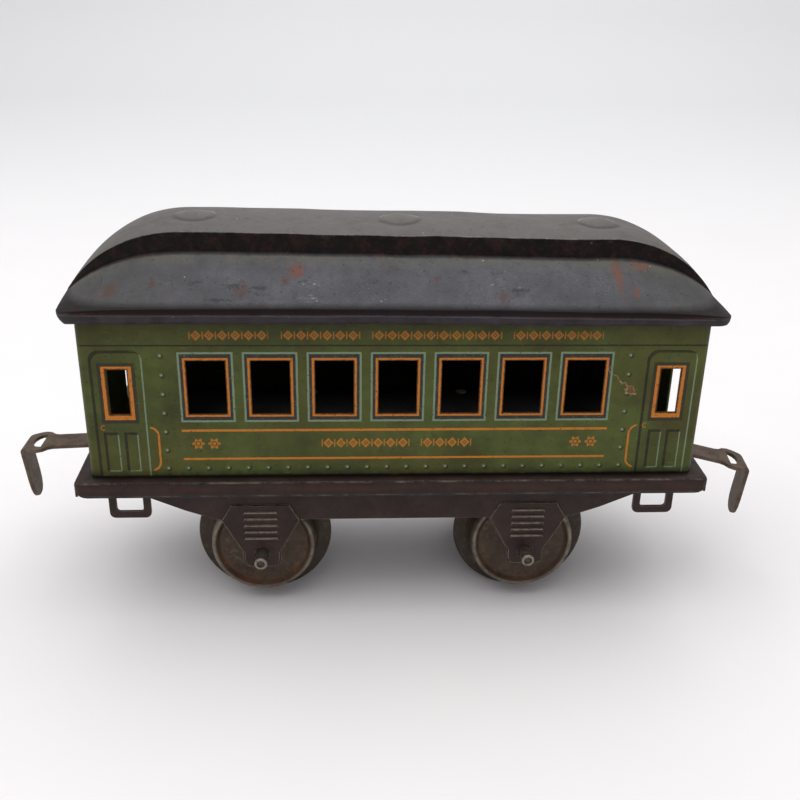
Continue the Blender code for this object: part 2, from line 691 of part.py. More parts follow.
def coupler(end):
    """A bent strip that swings about its pivot: a ring-shaped head with a slot, and a tongue bent down."""
    out = ENDS[end]
    path, widths, slot_at = coupler_path(end)
    origin = (out * PIVOT_X, 0, COUPLER_TOP)
    strip = strap(path, widths, COUPLER_SHEET, "y")
    pivot_axis = Matrix.Translation((out * PIVOT_X, 0, 0))
    swung = pivot_axis @ Matrix.Rotation(REST_SWING[end], 4, "Z") @ pivot_axis.inverted()
    bmesh.ops.transform(strip, matrix=swung, verts=strip.verts)
    reach = max(out * vert.co.x for vert in strip.verts)
    stretch = (COUPLER_REACH - BEND_X) / (reach - BEND_X)
    for vert in strip.verts:
        beyond_bend = max(0, out * vert.co.x - BEND_X)
        vert.co.x += out * beyond_bend * (stretch - 1)
    made = finish_mesh(f"coupler_{end}", strip, BARE_STEEL, 30, origin)
    slot = [(-SLOT_HALF / 4, -SLOT_HALF), (-SLOT_HALF / 4, SLOT_HALF)]
    slot += round_corner((-SLOT_HALF / 10, 0.0), SLOT_HALF, 68, -136, 6)
    cutter = prism(slot, "z", -2 * COUPLER_SHEET, 2 * COUPLER_SHEET)
    bmesh.ops.scale(cutter, verts=cutter.verts, vec=(out * SLOT_SQUASH, 1, 1))
    turn = Matrix.Rotation(out * DROOP[end], 4, "Y")
    place = swung @ Matrix.Translation((out * slot_at[0], 0, slot_at[1])) @ turn
    bmesh.ops.transform(cutter, matrix=place, verts=cutter.verts)
    through = (COUPLER_TOP - COUPLER_SHEET - CUT_MARGIN, COUPLER_TOP + CUT_MARGIN)
    bore = [(BORE_RADIUS, height) for height in through]
    pivot = turned(bore, (out * PIVOT_X, 0), "z", steps=SMALL_ROUND_STEPS)
    boolean(made, [cutter, pivot], "DIFFERENCE")


def coupler_fittings(end):
    """The pivot rivet, the spacer above the strip, and the bracket that holds the strip up near the end."""
    out = ENDS[end]
    centre = (out * PIVOT_X, 0)
    strip_bottom = COUPLER_TOP - COUPLER_SHEET
    rivet = [
        (PIVOT_HEAD_RADIUS - 0.0013, strip_bottom - 0.0012),
        (PIVOT_HEAD_RADIUS - 0.0003, strip_bottom - 0.0009),
        (PIVOT_HEAD_RADIUS, strip_bottom - GAP),
        (PIVOT_RADIUS, strip_bottom - GAP),
        (PIVOT_RADIUS, PAN_TOP + GAP),
        (PIVOT_HEAD_RADIUS - 0.0001, PAN_TOP + GAP),
        (PIVOT_HEAD_RADIUS - 0.0004, PAN_TOP + 0.0008),
        (PIVOT_HEAD_RADIUS - 0.0014, PAN_TOP + 0.0010),
    ]
    pin = turned(rivet, centre, "z", steps=SMALL_ROUND_STEPS)
    finish_mesh(f"coupler_rivet_{end}", pin, BARE_STEEL, 40)
    low = COUPLER_TOP + GAP
    high = PAN_TOP - PAN_SHEET - GAP
    spacer = [(BORE_RADIUS, low), (SPACER_RADIUS, low), (SPACER_RADIUS, high), (BORE_RADIUS, high)]
    tube = turned(spacer, centre, "z", True, SMALL_ROUND_STEPS)
    finish_mesh(f"coupler_spacer_{end}", tube, AXLE_STEEL, 35)
    top = PAN_TOP - PAN_SHEET - GAP - GUIDE_SHEET / 2
    bottom = strip_bottom - GAP - GUIDE_SHEET / 2
    half = [(0.0, bottom), (0.0062, bottom), (0.0071, bottom + 0.0004), (0.0075, bottom + 0.0012)]
    half += [(0.0077, top - 0.0009), (0.0081, top - 0.0002), (0.0088, top), (GUIDE_FOOT, top)]
    path = [(-y, z) for y, z in reversed(half[1:])] + half
    bracket = strap(path, [GUIDE_HALF_LENGTH] * len(path), GUIDE_SHEET, "x")
    bmesh.ops.translate(bracket, verts=bracket.verts, vec=(out * GUIDE_X, 0, 0))
    finish_mesh(f"coupler_guide_{end}", bracket, FRAME_ENAMEL, 30)


def wall_tab(side, end):
    """A tab of the end wall, down through its slot and bent flat under the pan."""
    out = ENDS[end]
    under = PAN_TOP - PAN_SHEET - GAP - SHEET / 2
    path = [
        (out * TAB_X, BODY_BOTTOM - GAP),
        (out * TAB_X, under + TAB_BEND * 2),
        (out * (TAB_X - TAB_BEND), under + TAB_BEND * 0.3),
        (out * (TAB_X - TAB_BEND * 3), under),
        (out * (TAB_X - TAB_REACH), under),
    ]
    widths = [TAB_WIDTH / 2] * 4 + [TAB_WIDTH / 2 - TAB_TAPER]
    tab = strap(path, widths, SHEET, "y")
    bmesh.ops.translate(tab, verts=tab.verts, vec=(0, SIDES[side] * TAB_Y, 0))
    finish_mesh(f"wall_tab_{side}_{end}", tab, BODY_PAINT)


def frame_rivet(side, end):
    """A small rivet through the floor pan and the side frame's flange."""
    centre = (ENDS[end] * FRAME_RIVET_X, SIDES[side] * FRAME_RIVET_Y)
    profile = [
        (RIVET_HEAD_RADIUS - 0.0009, FLANGE_BOTTOM - 0.0009),
        (RIVET_HEAD_RADIUS - 0.0001, FLANGE_BOTTOM - 0.0006),
        (RIVET_HEAD_RADIUS, FLANGE_BOTTOM - GAP),
        (RIVET_RADIUS, FLANGE_BOTTOM - GAP),
        (RIVET_RADIUS, PAN_TOP + GAP),
        (RIVET_HEAD_RADIUS - 0.0001, PAN_TOP + GAP),
        (RIVET_HEAD_RADIUS - 0.0002, PAN_TOP + 0.0006),
        (RIVET_HEAD_RADIUS - 0.0009, PAN_TOP + 0.0008),
    ]
    rivet = turned(profile, centre, "z", steps=RIVET_STEPS)
    finish_mesh(f"frame_rivet_{side}_{end}", rivet, BARE_STEEL, 40)


clear_scene()
BODY_PAINT = material("body_paint", (0.067, 0.085, 0.028), 0.45, 0.0)
ROOF_ENAMEL = material("roof_enamel", (0.03, 0.03, 0.03), 0.35, 0.0)
FRAME_ENAMEL = material("frame_enamel", (0.035, 0.025, 0.022), 0.4, 0.0)
WHEEL_TIN = material("wheel_tin", (0.32, 0.29, 0.26), 0.5, 0.9)
AXLE_STEEL = material("axle_steel", (0.38, 0.36, 0.33), 0.4, 1.0)
BARE_STEEL = material("bare_steel", (0.16, 0.13, 0.10), 0.5, 0.9)
floor_pan()
roof()
for side_name in SIDES:
    side_wall(side_name)
    side_frame(side_name)
for end_name in ENDS:
    end_wall(end_name)
    wheelset(end_name)
    coupler(end_name)
    coupler_fittings(end_name)
    for side_name in SIDES:
        wall_tab(side_name, end_name)
        frame_rivet(side_name, end_name)
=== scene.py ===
"""The visual model of a worn tinplate model passenger coach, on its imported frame."""

import math

import bmesh
import bpy
from mathutils import Matrix, Vector, noise


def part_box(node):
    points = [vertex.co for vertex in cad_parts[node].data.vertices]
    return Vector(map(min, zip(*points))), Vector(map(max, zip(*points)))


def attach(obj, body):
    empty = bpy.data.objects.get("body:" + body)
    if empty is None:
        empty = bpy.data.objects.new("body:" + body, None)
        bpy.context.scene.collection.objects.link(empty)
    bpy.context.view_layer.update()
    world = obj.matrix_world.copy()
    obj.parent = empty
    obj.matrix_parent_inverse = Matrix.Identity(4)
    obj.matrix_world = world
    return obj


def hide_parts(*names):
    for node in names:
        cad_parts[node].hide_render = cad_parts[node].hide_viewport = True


MM = 0.001

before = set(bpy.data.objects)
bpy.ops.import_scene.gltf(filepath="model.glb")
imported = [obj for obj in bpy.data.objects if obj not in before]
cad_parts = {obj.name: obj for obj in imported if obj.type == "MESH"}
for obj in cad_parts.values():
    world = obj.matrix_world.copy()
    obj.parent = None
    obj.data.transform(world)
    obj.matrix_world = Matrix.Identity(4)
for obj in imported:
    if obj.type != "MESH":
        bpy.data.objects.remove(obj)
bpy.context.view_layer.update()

# ---------------------------------------------------------------- shader graphs


class Graph:
    """Builds a node material whose coordinates are the object's own, in millimetres."""

    def __init__(self, name):
        self.material = bpy.data.materials.new(name)
        self.material.use_nodes = True
        self.tree = self.material.node_tree
        self.shader = self.tree.nodes["Principled BSDF"]
        coords = self.node("ShaderNodeTexCoord")
        scale = self.node("ShaderNodeVectorMath", operation="SCALE")
        self.tree.links.new(coords.outputs["Object"], scale.inputs[0])
        scale.inputs["Scale"].default_value = 1 / MM
        self.place = scale.outputs[0]
        split = self.node("ShaderNodeSeparateXYZ")
        self.tree.links.new(self.place, split.inputs[0])
        self.x, self.y, self.z = split.outputs

    def node(self, kind, **settings):
        made = self.tree.nodes.new(kind)
        for key, value in settings.items():
            setattr(made, key, value)
        return made

    def put(self, socket, value):
        if isinstance(value, bpy.types.NodeSocket):
            self.tree.links.new(value, socket)
        elif isinstance(value, (tuple, list)) and len(value) == 3 and socket.type == "RGBA":
            socket.default_value = (*value, 1)
        else:
            socket.default_value = value

    def math(self, operation, *values, clamp=False):
        made = self.node("ShaderNodeMath", operation=operation, use_clamp=clamp)
        for socket, value in zip(made.inputs, values):
            self.put(socket, value)
        return made.outputs[0]

    def add(self, a, b):
        return self.math("ADD", a, b)

    def sub(self, a, b):
        return self.math("SUBTRACT", a, b)

    def mul(self, a, b):
        return self.math("MULTIPLY", a, b)

    def absolute(self, a):
        return self.math("ABSOLUTE", a)

    def length(self, a, b):
        return self.math("SQRT", self.add(self.mul(a, a), self.mul(b, b)))

    def nearest(self, value, pitch):
        """The multiple of the pitch that is nearest to the value."""
        return self.mul(self.math("ROUND", self.math("DIVIDE", value, pitch)), pitch)

    def cell_middle(self, value, pitch):
        """The middle of the cell, one pitch wide, that the value falls in."""
        return self.mul(self.add(self.math("FLOOR", self.math("DIVIDE", value, pitch)), 0.5), pitch)

    def most(self, a, b):
        return self.math("MAXIMUM", a, b)

    def least(self, a, b):
        return self.math("MINIMUM", a, b)

    def both(self, *masks):
        whole = masks[0]
        for mask in masks[1:]:
            whole = self.mul(whole, mask)
        return whole

    def either(self, *masks):
        whole = masks[0]
        for mask in masks[1:]:
            whole = self.most(whole, mask)
        return whole

    def ramp(self, value, low, high):
        made = self.node("ShaderNodeMapRange", clamp=True)
        self.put(made.inputs["Value"], value)
        made.inputs["From Min"].default_value = low
        made.inputs["From Max"].default_value = high
        return made.outputs["Result"]

    def moved(self, shift, stretch=(1, 1, 1)):
        """The place, stretched, and moved to another part of a texture."""
        mapping = self.node("ShaderNodeMapping")
        self.put(mapping.inputs["Vector"], self.place)
        mapping.inputs["Scale"].default_value = stretch
        mapping.inputs["Location"].default_value = shift
        return mapping.outputs[0]

    def noise(self, scale, detail=3.0, rough=0.55, stretch=(1, 1, 1), shift=0.0):
        made = self.node("ShaderNodeTexNoise")
        self.put(made.inputs["Vector"], self.moved((shift, shift * 0.7, -shift), stretch))
        made.inputs["Scale"].default_value = scale
        made.inputs["Detail"].default_value = detail
        made.inputs["Roughness"].default_value = rough
        return made.outputs["Fac"]

    def cells(self, scale, shift):
        """The distance to the nearest of many scattered points."""
        made = self.node("ShaderNodeTexVoronoi")
        self.put(made.inputs["Vector"], self.moved((shift, shift * 1.3, shift)))
        made.inputs["Scale"].default_value = scale
        return made.outputs["Distance"]

    def mix(self, mask, a, b):
        made = self.node("ShaderNodeMix", data_type="RGBA")
        self.put(made.inputs["Factor"], mask)
        self.put(made.inputs["A"], a)
        self.put(made.inputs["B"], b)
        return made.outputs["Result"]

    def coat(self, base, mask, strength, colour):
        """The base with another colour over it where the mask is, up to a strength."""
        return self.mix(self.mul(mask, strength), base, colour)

    def value_mix(self, mask, a, b):
        made = self.node("ShaderNodeMix", data_type="FLOAT")
        self.put(made.inputs["Factor"], mask)
        self.put(made.inputs["A"], a)
        self.put(made.inputs["B"], b)
        return made.outputs["Result"]

    def bump(self, height, depth, strength):
        made = self.node("ShaderNodeBump")
        self.put(made.inputs["Height"], height)
        made.inputs["Distance"].default_value = depth * MM
        made.inputs["Strength"].default_value = strength
        self.tree.links.new(made.outputs[0], self.shader.inputs["Normal"])

    def normal(self):
        """The surface's direction in the object's own frame, as its X, Y and Z parts."""
        coords = self.node("ShaderNodeTexCoord")
        split = self.node("ShaderNodeSeparateXYZ")
        self.tree.links.new(coords.outputs["Normal"], split.inputs[0])
        return split.outputs

    def finish(self, colour, roughness, metallic, specular=0.5):
        self.shader.inputs["Specular IOR Level"].default_value = specular
        self.put(self.shader.inputs["Base Color"], colour)
        self.put(self.shader.inputs["Roughness"], roughness)
        self.put(self.shader.inputs["Metallic"], metallic)
        return self.material

    # A shape is its distance in millimetres, negative inside. Fill and line turn it into a mask.

    def rectangle(self, u, w, centre, half, radius=0.0):
        across = self.sub(self.absolute(self.sub(u, centre[0])), half[0] - radius)
        along = self.sub(self.absolute(self.sub(w, centre[1])), half[1] - radius)
        if not radius:
            return self.most(across, along)
        corner = self.length(self.most(across, 0.0), self.most(along, 0.0))
        return self.sub(self.add(corner, self.least(self.most(across, along), 0.0)), radius)

    def fill(self, distance, soft=0.06):
        return self.math("MULTIPLY_ADD", distance, -1 / soft, 0.5, clamp=True)

    def line(self, distance, half, soft=0.06):
        return self.fill(self.sub(self.absolute(distance), half), soft)


def srgb(r, g, b):
    """Linear colour from display values of 0 to 255."""
    return tuple(((c / 255 + 0.055) / 1.055) ** 2.4 if c > 10.3 else c / 255 / 12.92 for c in (r, g, b))


# ---------------------------------------------------------------- measures in millimetres, and colours

# The side print.
WINDOW_PITCH = 12.93
WINDOW_ROW_HALF = 45.4
DOOR_X = 56.6
STRIPE_HALF = 44.4
RIVET_PITCH_X = 4.15
RIVET_PITCH_Z = 4.175
RIVET_LOW_Z = 36.4
RIVET_COLUMN_X = 47.7
RIVET_COLUMN_TOP_Z = 62.5
RIVET_ROW_HALF = 48.5
LETTERBOARD_Z = 65.75
LETTERBOARD_FOOT_Z = 63.6
WAIST_Z = 42.0
LOZENGE_PITCH = 2.6

# Wheels, axle guards and pan.
AXLE_X = 29.05
AXLE_Z = 14.97
LOUVRES_Z = 22.4
LOUVRE_RIB_Z = 25.58
LOUVRE_PITCH = 1.6
WHEEL_STEPS = 96
PAN_TOP = 34.25

# The roof. As in the photo, it sits a little to the right and low at its right end: the tilt is a slope.
ROOF_SHEET = 0.45
ROOF_SHIFT = 0.25
ROOF_TILT = 0.012
EAVE_Z = 70.8
EAVE_TO_CROWN = 13.5
EAVE_CORNER = 3.0
END_BOW = 1.4
LEVEL_HALF = 45.0
LOWER_RISE = 8.65
STEP_BASE_Y = 13.1
STEP_TOP_Y = 12.3
STEP_TOP_RISE = 12.15
SLOPE_STRIPS = 22
CROWN_STRIPS = 20
CREASE_STRIPS = 4
LEVEL_STATIONS = 60
END_STATIONS = 24
VENT_MIDDLE_X = 0.75
VENT_PITCH = 43.5
VENT_Y = -1.6
VENT_RADIUS = 4.7
VENT_HEIGHT = 0.95

# Marks on the roof's near slope: the place's x and y, then the half sizes.
RUST_SPOTS = (
    (-20.4, -18.1, 1.5, 1.7),
    (45.4, -17.6, 0.9, 4.2),
    (50.8, -14.9, 1.6, 1.2),
    (48.4, -22.2, 0.6, 1.6),
)
BROWN_SPOTS = (
    (-57.1, -21.8, 1.6, 1.9),
    (-49.0, -21.1, 0.8, 1.5),
    (-31.1, -22.9, 1.4, 2.0),
    (-22.6, -20.7, 0.9, 1.1),
    (21.0, -23.6, 1.5, 1.9),
    (7.7, -19.4, 1.1, 0.8),
)
SCUFFS = (
    (-32.8, -21.9, 2.1, 0.6),
    (-27.6, -22.3, 1.7, 0.5),
    (24.5, -22.1, 2.6, 0.5),
    (-36.0, -24.9, 2.6, 0.4),
)
PALE_SCRATCHES = (
    (-17.4, -21.1, 1.9, 0.7),
    (-17.2, -24.6, 2.2, 1.6),
)

INSIDE_SHADE = srgb(8, 6, 5)
OLIVE = srgb(67, 74, 31)
OLIVE_DARK = srgb(46, 46, 20)
OLIVE_LIGHT = srgb(81, 91, 44)
SAGE = srgb(122, 142, 118)
SLATE = srgb(46, 38, 38)
ORANGE = srgb(190, 115, 38)
LINE_DARK = srgb(30, 30, 20)
RUST = srgb(80, 38, 20)

# ---------------------------------------------------------------- the printed sides


def side_print(g, colour):
    """The print of a side: doors, rivet heads, windows, stripes, handles and ornament."""
    wobble = g.mul(g.sub(g.noise(0.9, 3, 0.6, shift=12), 0.5), 0.16)
    x = g.add(g.x, wobble)
    z = g.add(g.z, wobble)
    ax = g.absolute(x)
    worn = g.ramp(g.noise(1.7, 4, 0.75, shift=77), 0.30, 0.42)

    def lay(base, mask, ink, strength=0.92):
        return g.coat(base, g.both(mask, worn), strength, ink)

    # the line below the letterboard
    colour = lay(colour, g.line(g.sub(z, LETTERBOARD_FOOT_Z), 0.17), LINE_DARK)

    # doors and their lower panels. A rectangle is given by its centre and half sizes, and its corner radius
    def door(px, pz):
        return g.rectangle(g.absolute(px), pz, (DOOR_X, 44.3), (5.3, 18.3), 2.2)

    def panels(px, pz):
        pax = g.absolute(px)
        outer_panel = g.rectangle(pax, pz, (58.8, 40.2), (1.55, 4.5))
        inner_panel = g.rectangle(pax, pz, (54.75, 40.2), (1.45, 4.5))
        return g.least(outer_panel, inner_panel)

    def bevelled(base, shape, dark_width, light_width):
        """A sunk outline: dark along the shape's upper left edges, pale along its lower right ones."""
        inside = g.fill(shape(x, z))
        right_down = shape(g.sub(x, dark_width), g.add(z, dark_width))
        left_up = shape(g.add(x, light_width), g.sub(z, light_width))
        dark = g.both(inside, g.sub(1.0, g.fill(right_down)))
        light = g.both(inside, g.sub(1.0, g.fill(left_up)))
        base = lay(base, light, SAGE, 0.75)
        return lay(base, dark, LINE_DARK, 0.85)

    colour = bevelled(colour, door, 0.6, 0.32)
    colour = bevelled(colour, panels, 0.6, 0.28)
    # rivet heads: a column beside each door and a row along the bottom
    up = g.sub(g.z, RIVET_LOW_Z)
    row_z = g.sub(up, g.nearest(up, RIVET_PITCH_Z))
    row_x = g.sub(g.x, g.cell_middle(g.x, RIVET_PITCH_X))

    def rivets(dx, dz):
        column = g.length(g.sub(g.absolute(g.sub(g.x, dx)), RIVET_COLUMN_X), g.sub(row_z, dz))
        column = g.most(column, g.sub(g.z, RIVET_COLUMN_TOP_Z))
        row = g.length(g.sub(row_x, dx), g.sub(up, dz))
        row = g.most(row, g.sub(g.absolute(g.x), RIVET_ROW_HALF))
        return g.least(column, row)

    colour = lay(colour, g.fill(g.sub(rivets(0.16, -0.14), 0.56), 0.2), LINE_DARK, 0.8)
    colour = lay(colour, g.fill(g.sub(rivets(-0.03, 0.03), 0.42), 0.2), srgb(92, 102, 70), 0.9)
    colour = lay(colour, g.fill(g.sub(rivets(0.02, 0.0), 0.18), 0.22), srgb(160, 172, 146), 0.75)
    # windows, repeated along the side
    middle = g.nearest(x, WINDOW_PITCH)
    u = g.sub(x, middle)
    row_of_windows = g.fill(g.sub(ax, WINDOW_ROW_HALF))
    outer = g.rectangle(u, z, (0, 54.55), (5.55, 7.65))
    frame_edge = g.rectangle(u, z, (0, 54.52), (4.55, 6.42))
    hole = g.rectangle(g.sub(g.x, middle), z, (0, 54.5), (3.9, 5.8))
    colour = lay(colour, g.both(row_of_windows, g.fill(outer)), SAGE, 0.85)
    colour = lay(colour, g.both(row_of_windows, g.fill(g.add(outer, 0.42))), SLATE, 0.96)
    colour = lay(colour, g.both(row_of_windows, g.fill(frame_edge)), ORANGE, 0.97)
    rough_edge = g.sub(hole, g.mul(g.noise(1.4, 4, 0.7, shift=3), 0.42))
    colour = lay(colour, g.both(row_of_windows, g.fill(rough_edge, 0.12)), srgb(46, 26, 18), 0.9)
    # door windows
    colour = lay(colour, g.fill(g.rectangle(ax, z, (DOOR_X, 53.3), (3.75, 6.6))), srgb(48, 42, 36), 0.85)
    colour = lay(colour, g.fill(g.rectangle(ax, z, (DOOR_X, 53.3), (3.03, 5.85))), ORANGE, 0.97)
    door_hole = g.rectangle(ax, z, (DOOR_X, 53.55), (2.05, 4.85))
    door_rough = g.sub(door_hole, g.mul(g.noise(1.6, 4, 0.7, shift=9), 0.6))
    colour = lay(colour, g.fill(door_rough, 0.12), srgb(54, 28, 16), 0.9)
    # stripes and the bracket lines beside the doors
    ends = g.fill(g.sub(ax, STRIPE_HALF), 0.3)
    upper = g.line(g.sub(z, 45.0), 0.26)
    lower = g.line(g.sub(z, 38.5), 0.24)
    colour = lay(colour, g.both(ends, g.either(upper, lower)), ORANGE, 0.95)
    bracket = g.line(g.rectangle(ax, z, (53.2, 40.85), (4.0, 4.9), 1.9), 0.21)
    colour = lay(colour, g.both(bracket, g.fill(g.sub(ax, 50.75), 0.3)), ORANGE, 0.92)
    # door handles: a small hook on the left edge of each door
    handle_x = g.add(x, g.value_mix(g.fill(x, 1.0), -52.5, 60.2))
    handle = g.length(handle_x, g.sub(z, 45.7))
    hook = g.both(g.line(g.sub(handle, 0.5), 0.16), g.fill(g.sub(handle_x, 0.25)))
    colour = lay(colour, hook, ORANGE, 0.42)
    return lay(colour, ornament(g, x, z), srgb(178, 112, 38), 0.88)


def litho(name, printed):
    """Olive lithographed tin, with or without the side print, worn and dirty, with a painted shadow at its
    foot and painted shade under the eave, bare inside and painted nearly black there as shade.
    """
    g = Graph(name)
    mottle = g.noise(0.22, 5, 0.6)
    blotch = g.noise(0.07, 4, 0.6, shift=31)
    fine = g.noise(2.6, 3, 0.7, shift=5)
    colour = g.mix(g.ramp(mottle, 0.32, 0.68), OLIVE, OLIVE_LIGHT)
    colour = g.coat(colour, g.ramp(blotch, 0.42, 0.66), 0.6, OLIVE_DARK)
    warm = g.ramp(g.noise(0.045, 3, 0.6, shift=64), 0.45, 0.62)
    colour = g.coat(colour, warm, 0.35, srgb(82, 74, 28))
    colour = g.coat(colour, g.ramp(fine, 0.52, 0.75), 0.3, OLIVE_DARK)
    if printed:
        colour = side_print(g, colour)
    # scuffs, rubbed corners and dirt specks, blotches darker towards the bottom and the top, a painted shadow
    # along the walls' feet and painted shade under the eave
    corner = g.ramp(g.absolute(g.x), 62.9, 64.0)
    scuff = g.ramp(g.noise(0.55, 6, 0.75, shift=55), 0.60, 0.66)
    colour = g.coat(colour, g.both(corner, g.ramp(g.noise(1.1, 4, 0.7), 0.4, 0.6)), 0.6, srgb(96, 92, 70))
    colour = g.coat(colour, scuff, 0.35, srgb(52, 40, 26))
    specks = g.fill(g.sub(g.cells(0.75, shift=4), 0.11), 0.06)
    colour = g.coat(colour, specks, 0.75, srgb(34, 30, 20))
    low = g.both(g.ramp(g.z, 36.2, 34.6), g.ramp(g.noise(0.5, 4, 0.7, shift=8), 0.3, 0.6))
    colour = g.coat(colour, low, 0.75, srgb(36, 32, 22))
    # painted shadow: nearly black along the walls' feet, where they meet the pan
    colour = g.coat(colour, g.ramp(g.z, 34.95, 34.55), 0.9, srgb(10, 8, 6))
    # painted shade under the eave: smoothly darker towards the top
    high = g.ramp(g.z, 62.5, 70.0)
    colour = g.coat(colour, high, 0.62, srgb(42, 40, 18))
    # blotches darker towards the top
    top_blotches = g.both(g.ramp(g.z, 66.0, 70.0), g.ramp(g.noise(0.35, 5, 0.75, shift=96), 0.42, 0.62))
    colour = g.coat(colour, top_blotches, 0.55, srgb(34, 30, 16))
    scratch_lines = g.noise(0.9, 2, 0.5, stretch=(0.35, 1, 6.0), shift=21)
    scratches = g.ramp(scratch_lines, 0.70, 0.73)
    colour = g.coat(colour, scratches, 0.30, srgb(120, 116, 84))
    if printed:
        colour = scrape(g, colour)
    # the inner face of each side wall is bare, and painted nearly black as the shade inside the coach
    inward = g.mul(g.normal()[1], g.math("SIGN", g.y))
    inside = g.both(g.fill(g.sub(inward, -0.5), 0.3), g.fill(g.sub(g.absolute(g.x), 63.4), 0.1))
    colour = g.coat(colour, inside, 0.94, INSIDE_SHADE)
    rough = g.add(0.38, g.mul(g.noise(0.5, 4, 0.6, shift=2), 0.28))
    rough = g.value_mix(inside, rough, 0.95)
    g.bump(g.add(g.noise(0.16, 3, 0.5, shift=14), g.mul(g.noise(2.2, 3, 0.6), 0.10)), 0.35, 0.5)
    return g.finish(colour, rough, 0.0, 0.2)


def ornament(g, x, z):
    """Rows of lozenges in place of words: four groups above, two below, and two rosettes at each end."""

    def lozenges(centre_z, half_z, spans):
        u = g.sub(x, g.cell_middle(x, LOZENGE_PITCH))
        au = g.absolute(u)
        w = g.absolute(g.sub(z, centre_z))
        diamond = g.sub(g.add(g.mul(au, 2 * half_z / LOZENGE_PITCH * 1.25), w), half_z)
        ring = g.both(g.fill(diamond, 0.14), g.sub(1.0, g.fill(g.add(diamond, 0.62), 0.14)))
        bars = g.both(g.line(g.sub(au, LOZENGE_PITCH / 2), 0.13, 0.1), g.fill(g.sub(w, half_z * 0.72), 0.1))
        dots = g.fill(g.sub(g.length(u, w), 0.22), 0.12)
        shown = []
        for low, high in spans:
            shown.append(g.fill(g.sub(g.absolute(g.sub(x, (low + high) / 2)), (high - low) / 2)))
        return g.both(g.either(ring, bars, dots), g.either(*shown))

    top = lozenges(LETTERBOARD_Z, 1.1, ((-41.7, -26.0), (-23.5, -7.7), (-5.3, 20.9), (23.3, 41.7)))
    waist = lozenges(WAIST_Z, 1.15, ((-15.7, 2.7), (5.1, 15.7)))

    def rosette(centre_x):
        dx = g.sub(g.absolute(x), centre_x)
        dz = g.sub(z, WAIST_Z)
        far = g.length(dx, dz)
        wave = g.math("COSINE", g.mul(g.math("ARCTAN2", dz, dx), 6.0))
        petals = g.sub(far, g.add(1.05, g.mul(wave, 0.25)))
        return g.both(g.fill(petals, 0.14), g.sub(1.0, g.line(g.sub(far, 0.5), 0.13, 0.1)))

    return g.either(top, waist, rosette(37.9), rosette(41.2))


def scrape(g, colour):
    """A scrape beside the near side's last window: a thin pale line and a bare patch with a pale outline."""
    near = g.fill(g.y, 1.0)
    du = g.sub(g.x, 45.6)
    dw = g.sub(g.z, 56.3)
    along = g.add(g.mul(du, 0.76), g.mul(dw, -0.65))
    across = g.add(g.mul(du, 0.65), g.mul(dw, 0.76))
    jitter = g.mul(g.sub(g.noise(0.7, 5, 0.75, shift=44), 0.5), 2.8)
    broken = g.ramp(g.noise(1.9, 3, 0.7, shift=52), 0.40, 0.52)
    thin = g.both(g.line(g.add(across, jitter), 0.09, 0.1), g.fill(g.sub(g.absolute(along), 3.2), 0.5))
    thin = g.both(thin, broken)
    patch = g.length(g.sub(g.x, 48.6), g.sub(g.z, 53.6))
    patch = g.add(g.sub(patch, 0.85), g.mul(jitter, 1.4))
    colour = g.coat(colour, g.both(near, g.fill(patch, 0.2)), 0.8, srgb(112, 72, 52))
    pale = g.either(thin, g.both(g.line(patch, 0.13, 0.12), broken))
    return g.coat(colour, g.both(near, pale), 0.8, srgb(182, 146, 116))


# ---------------------------------------------------------------- enamels and metals


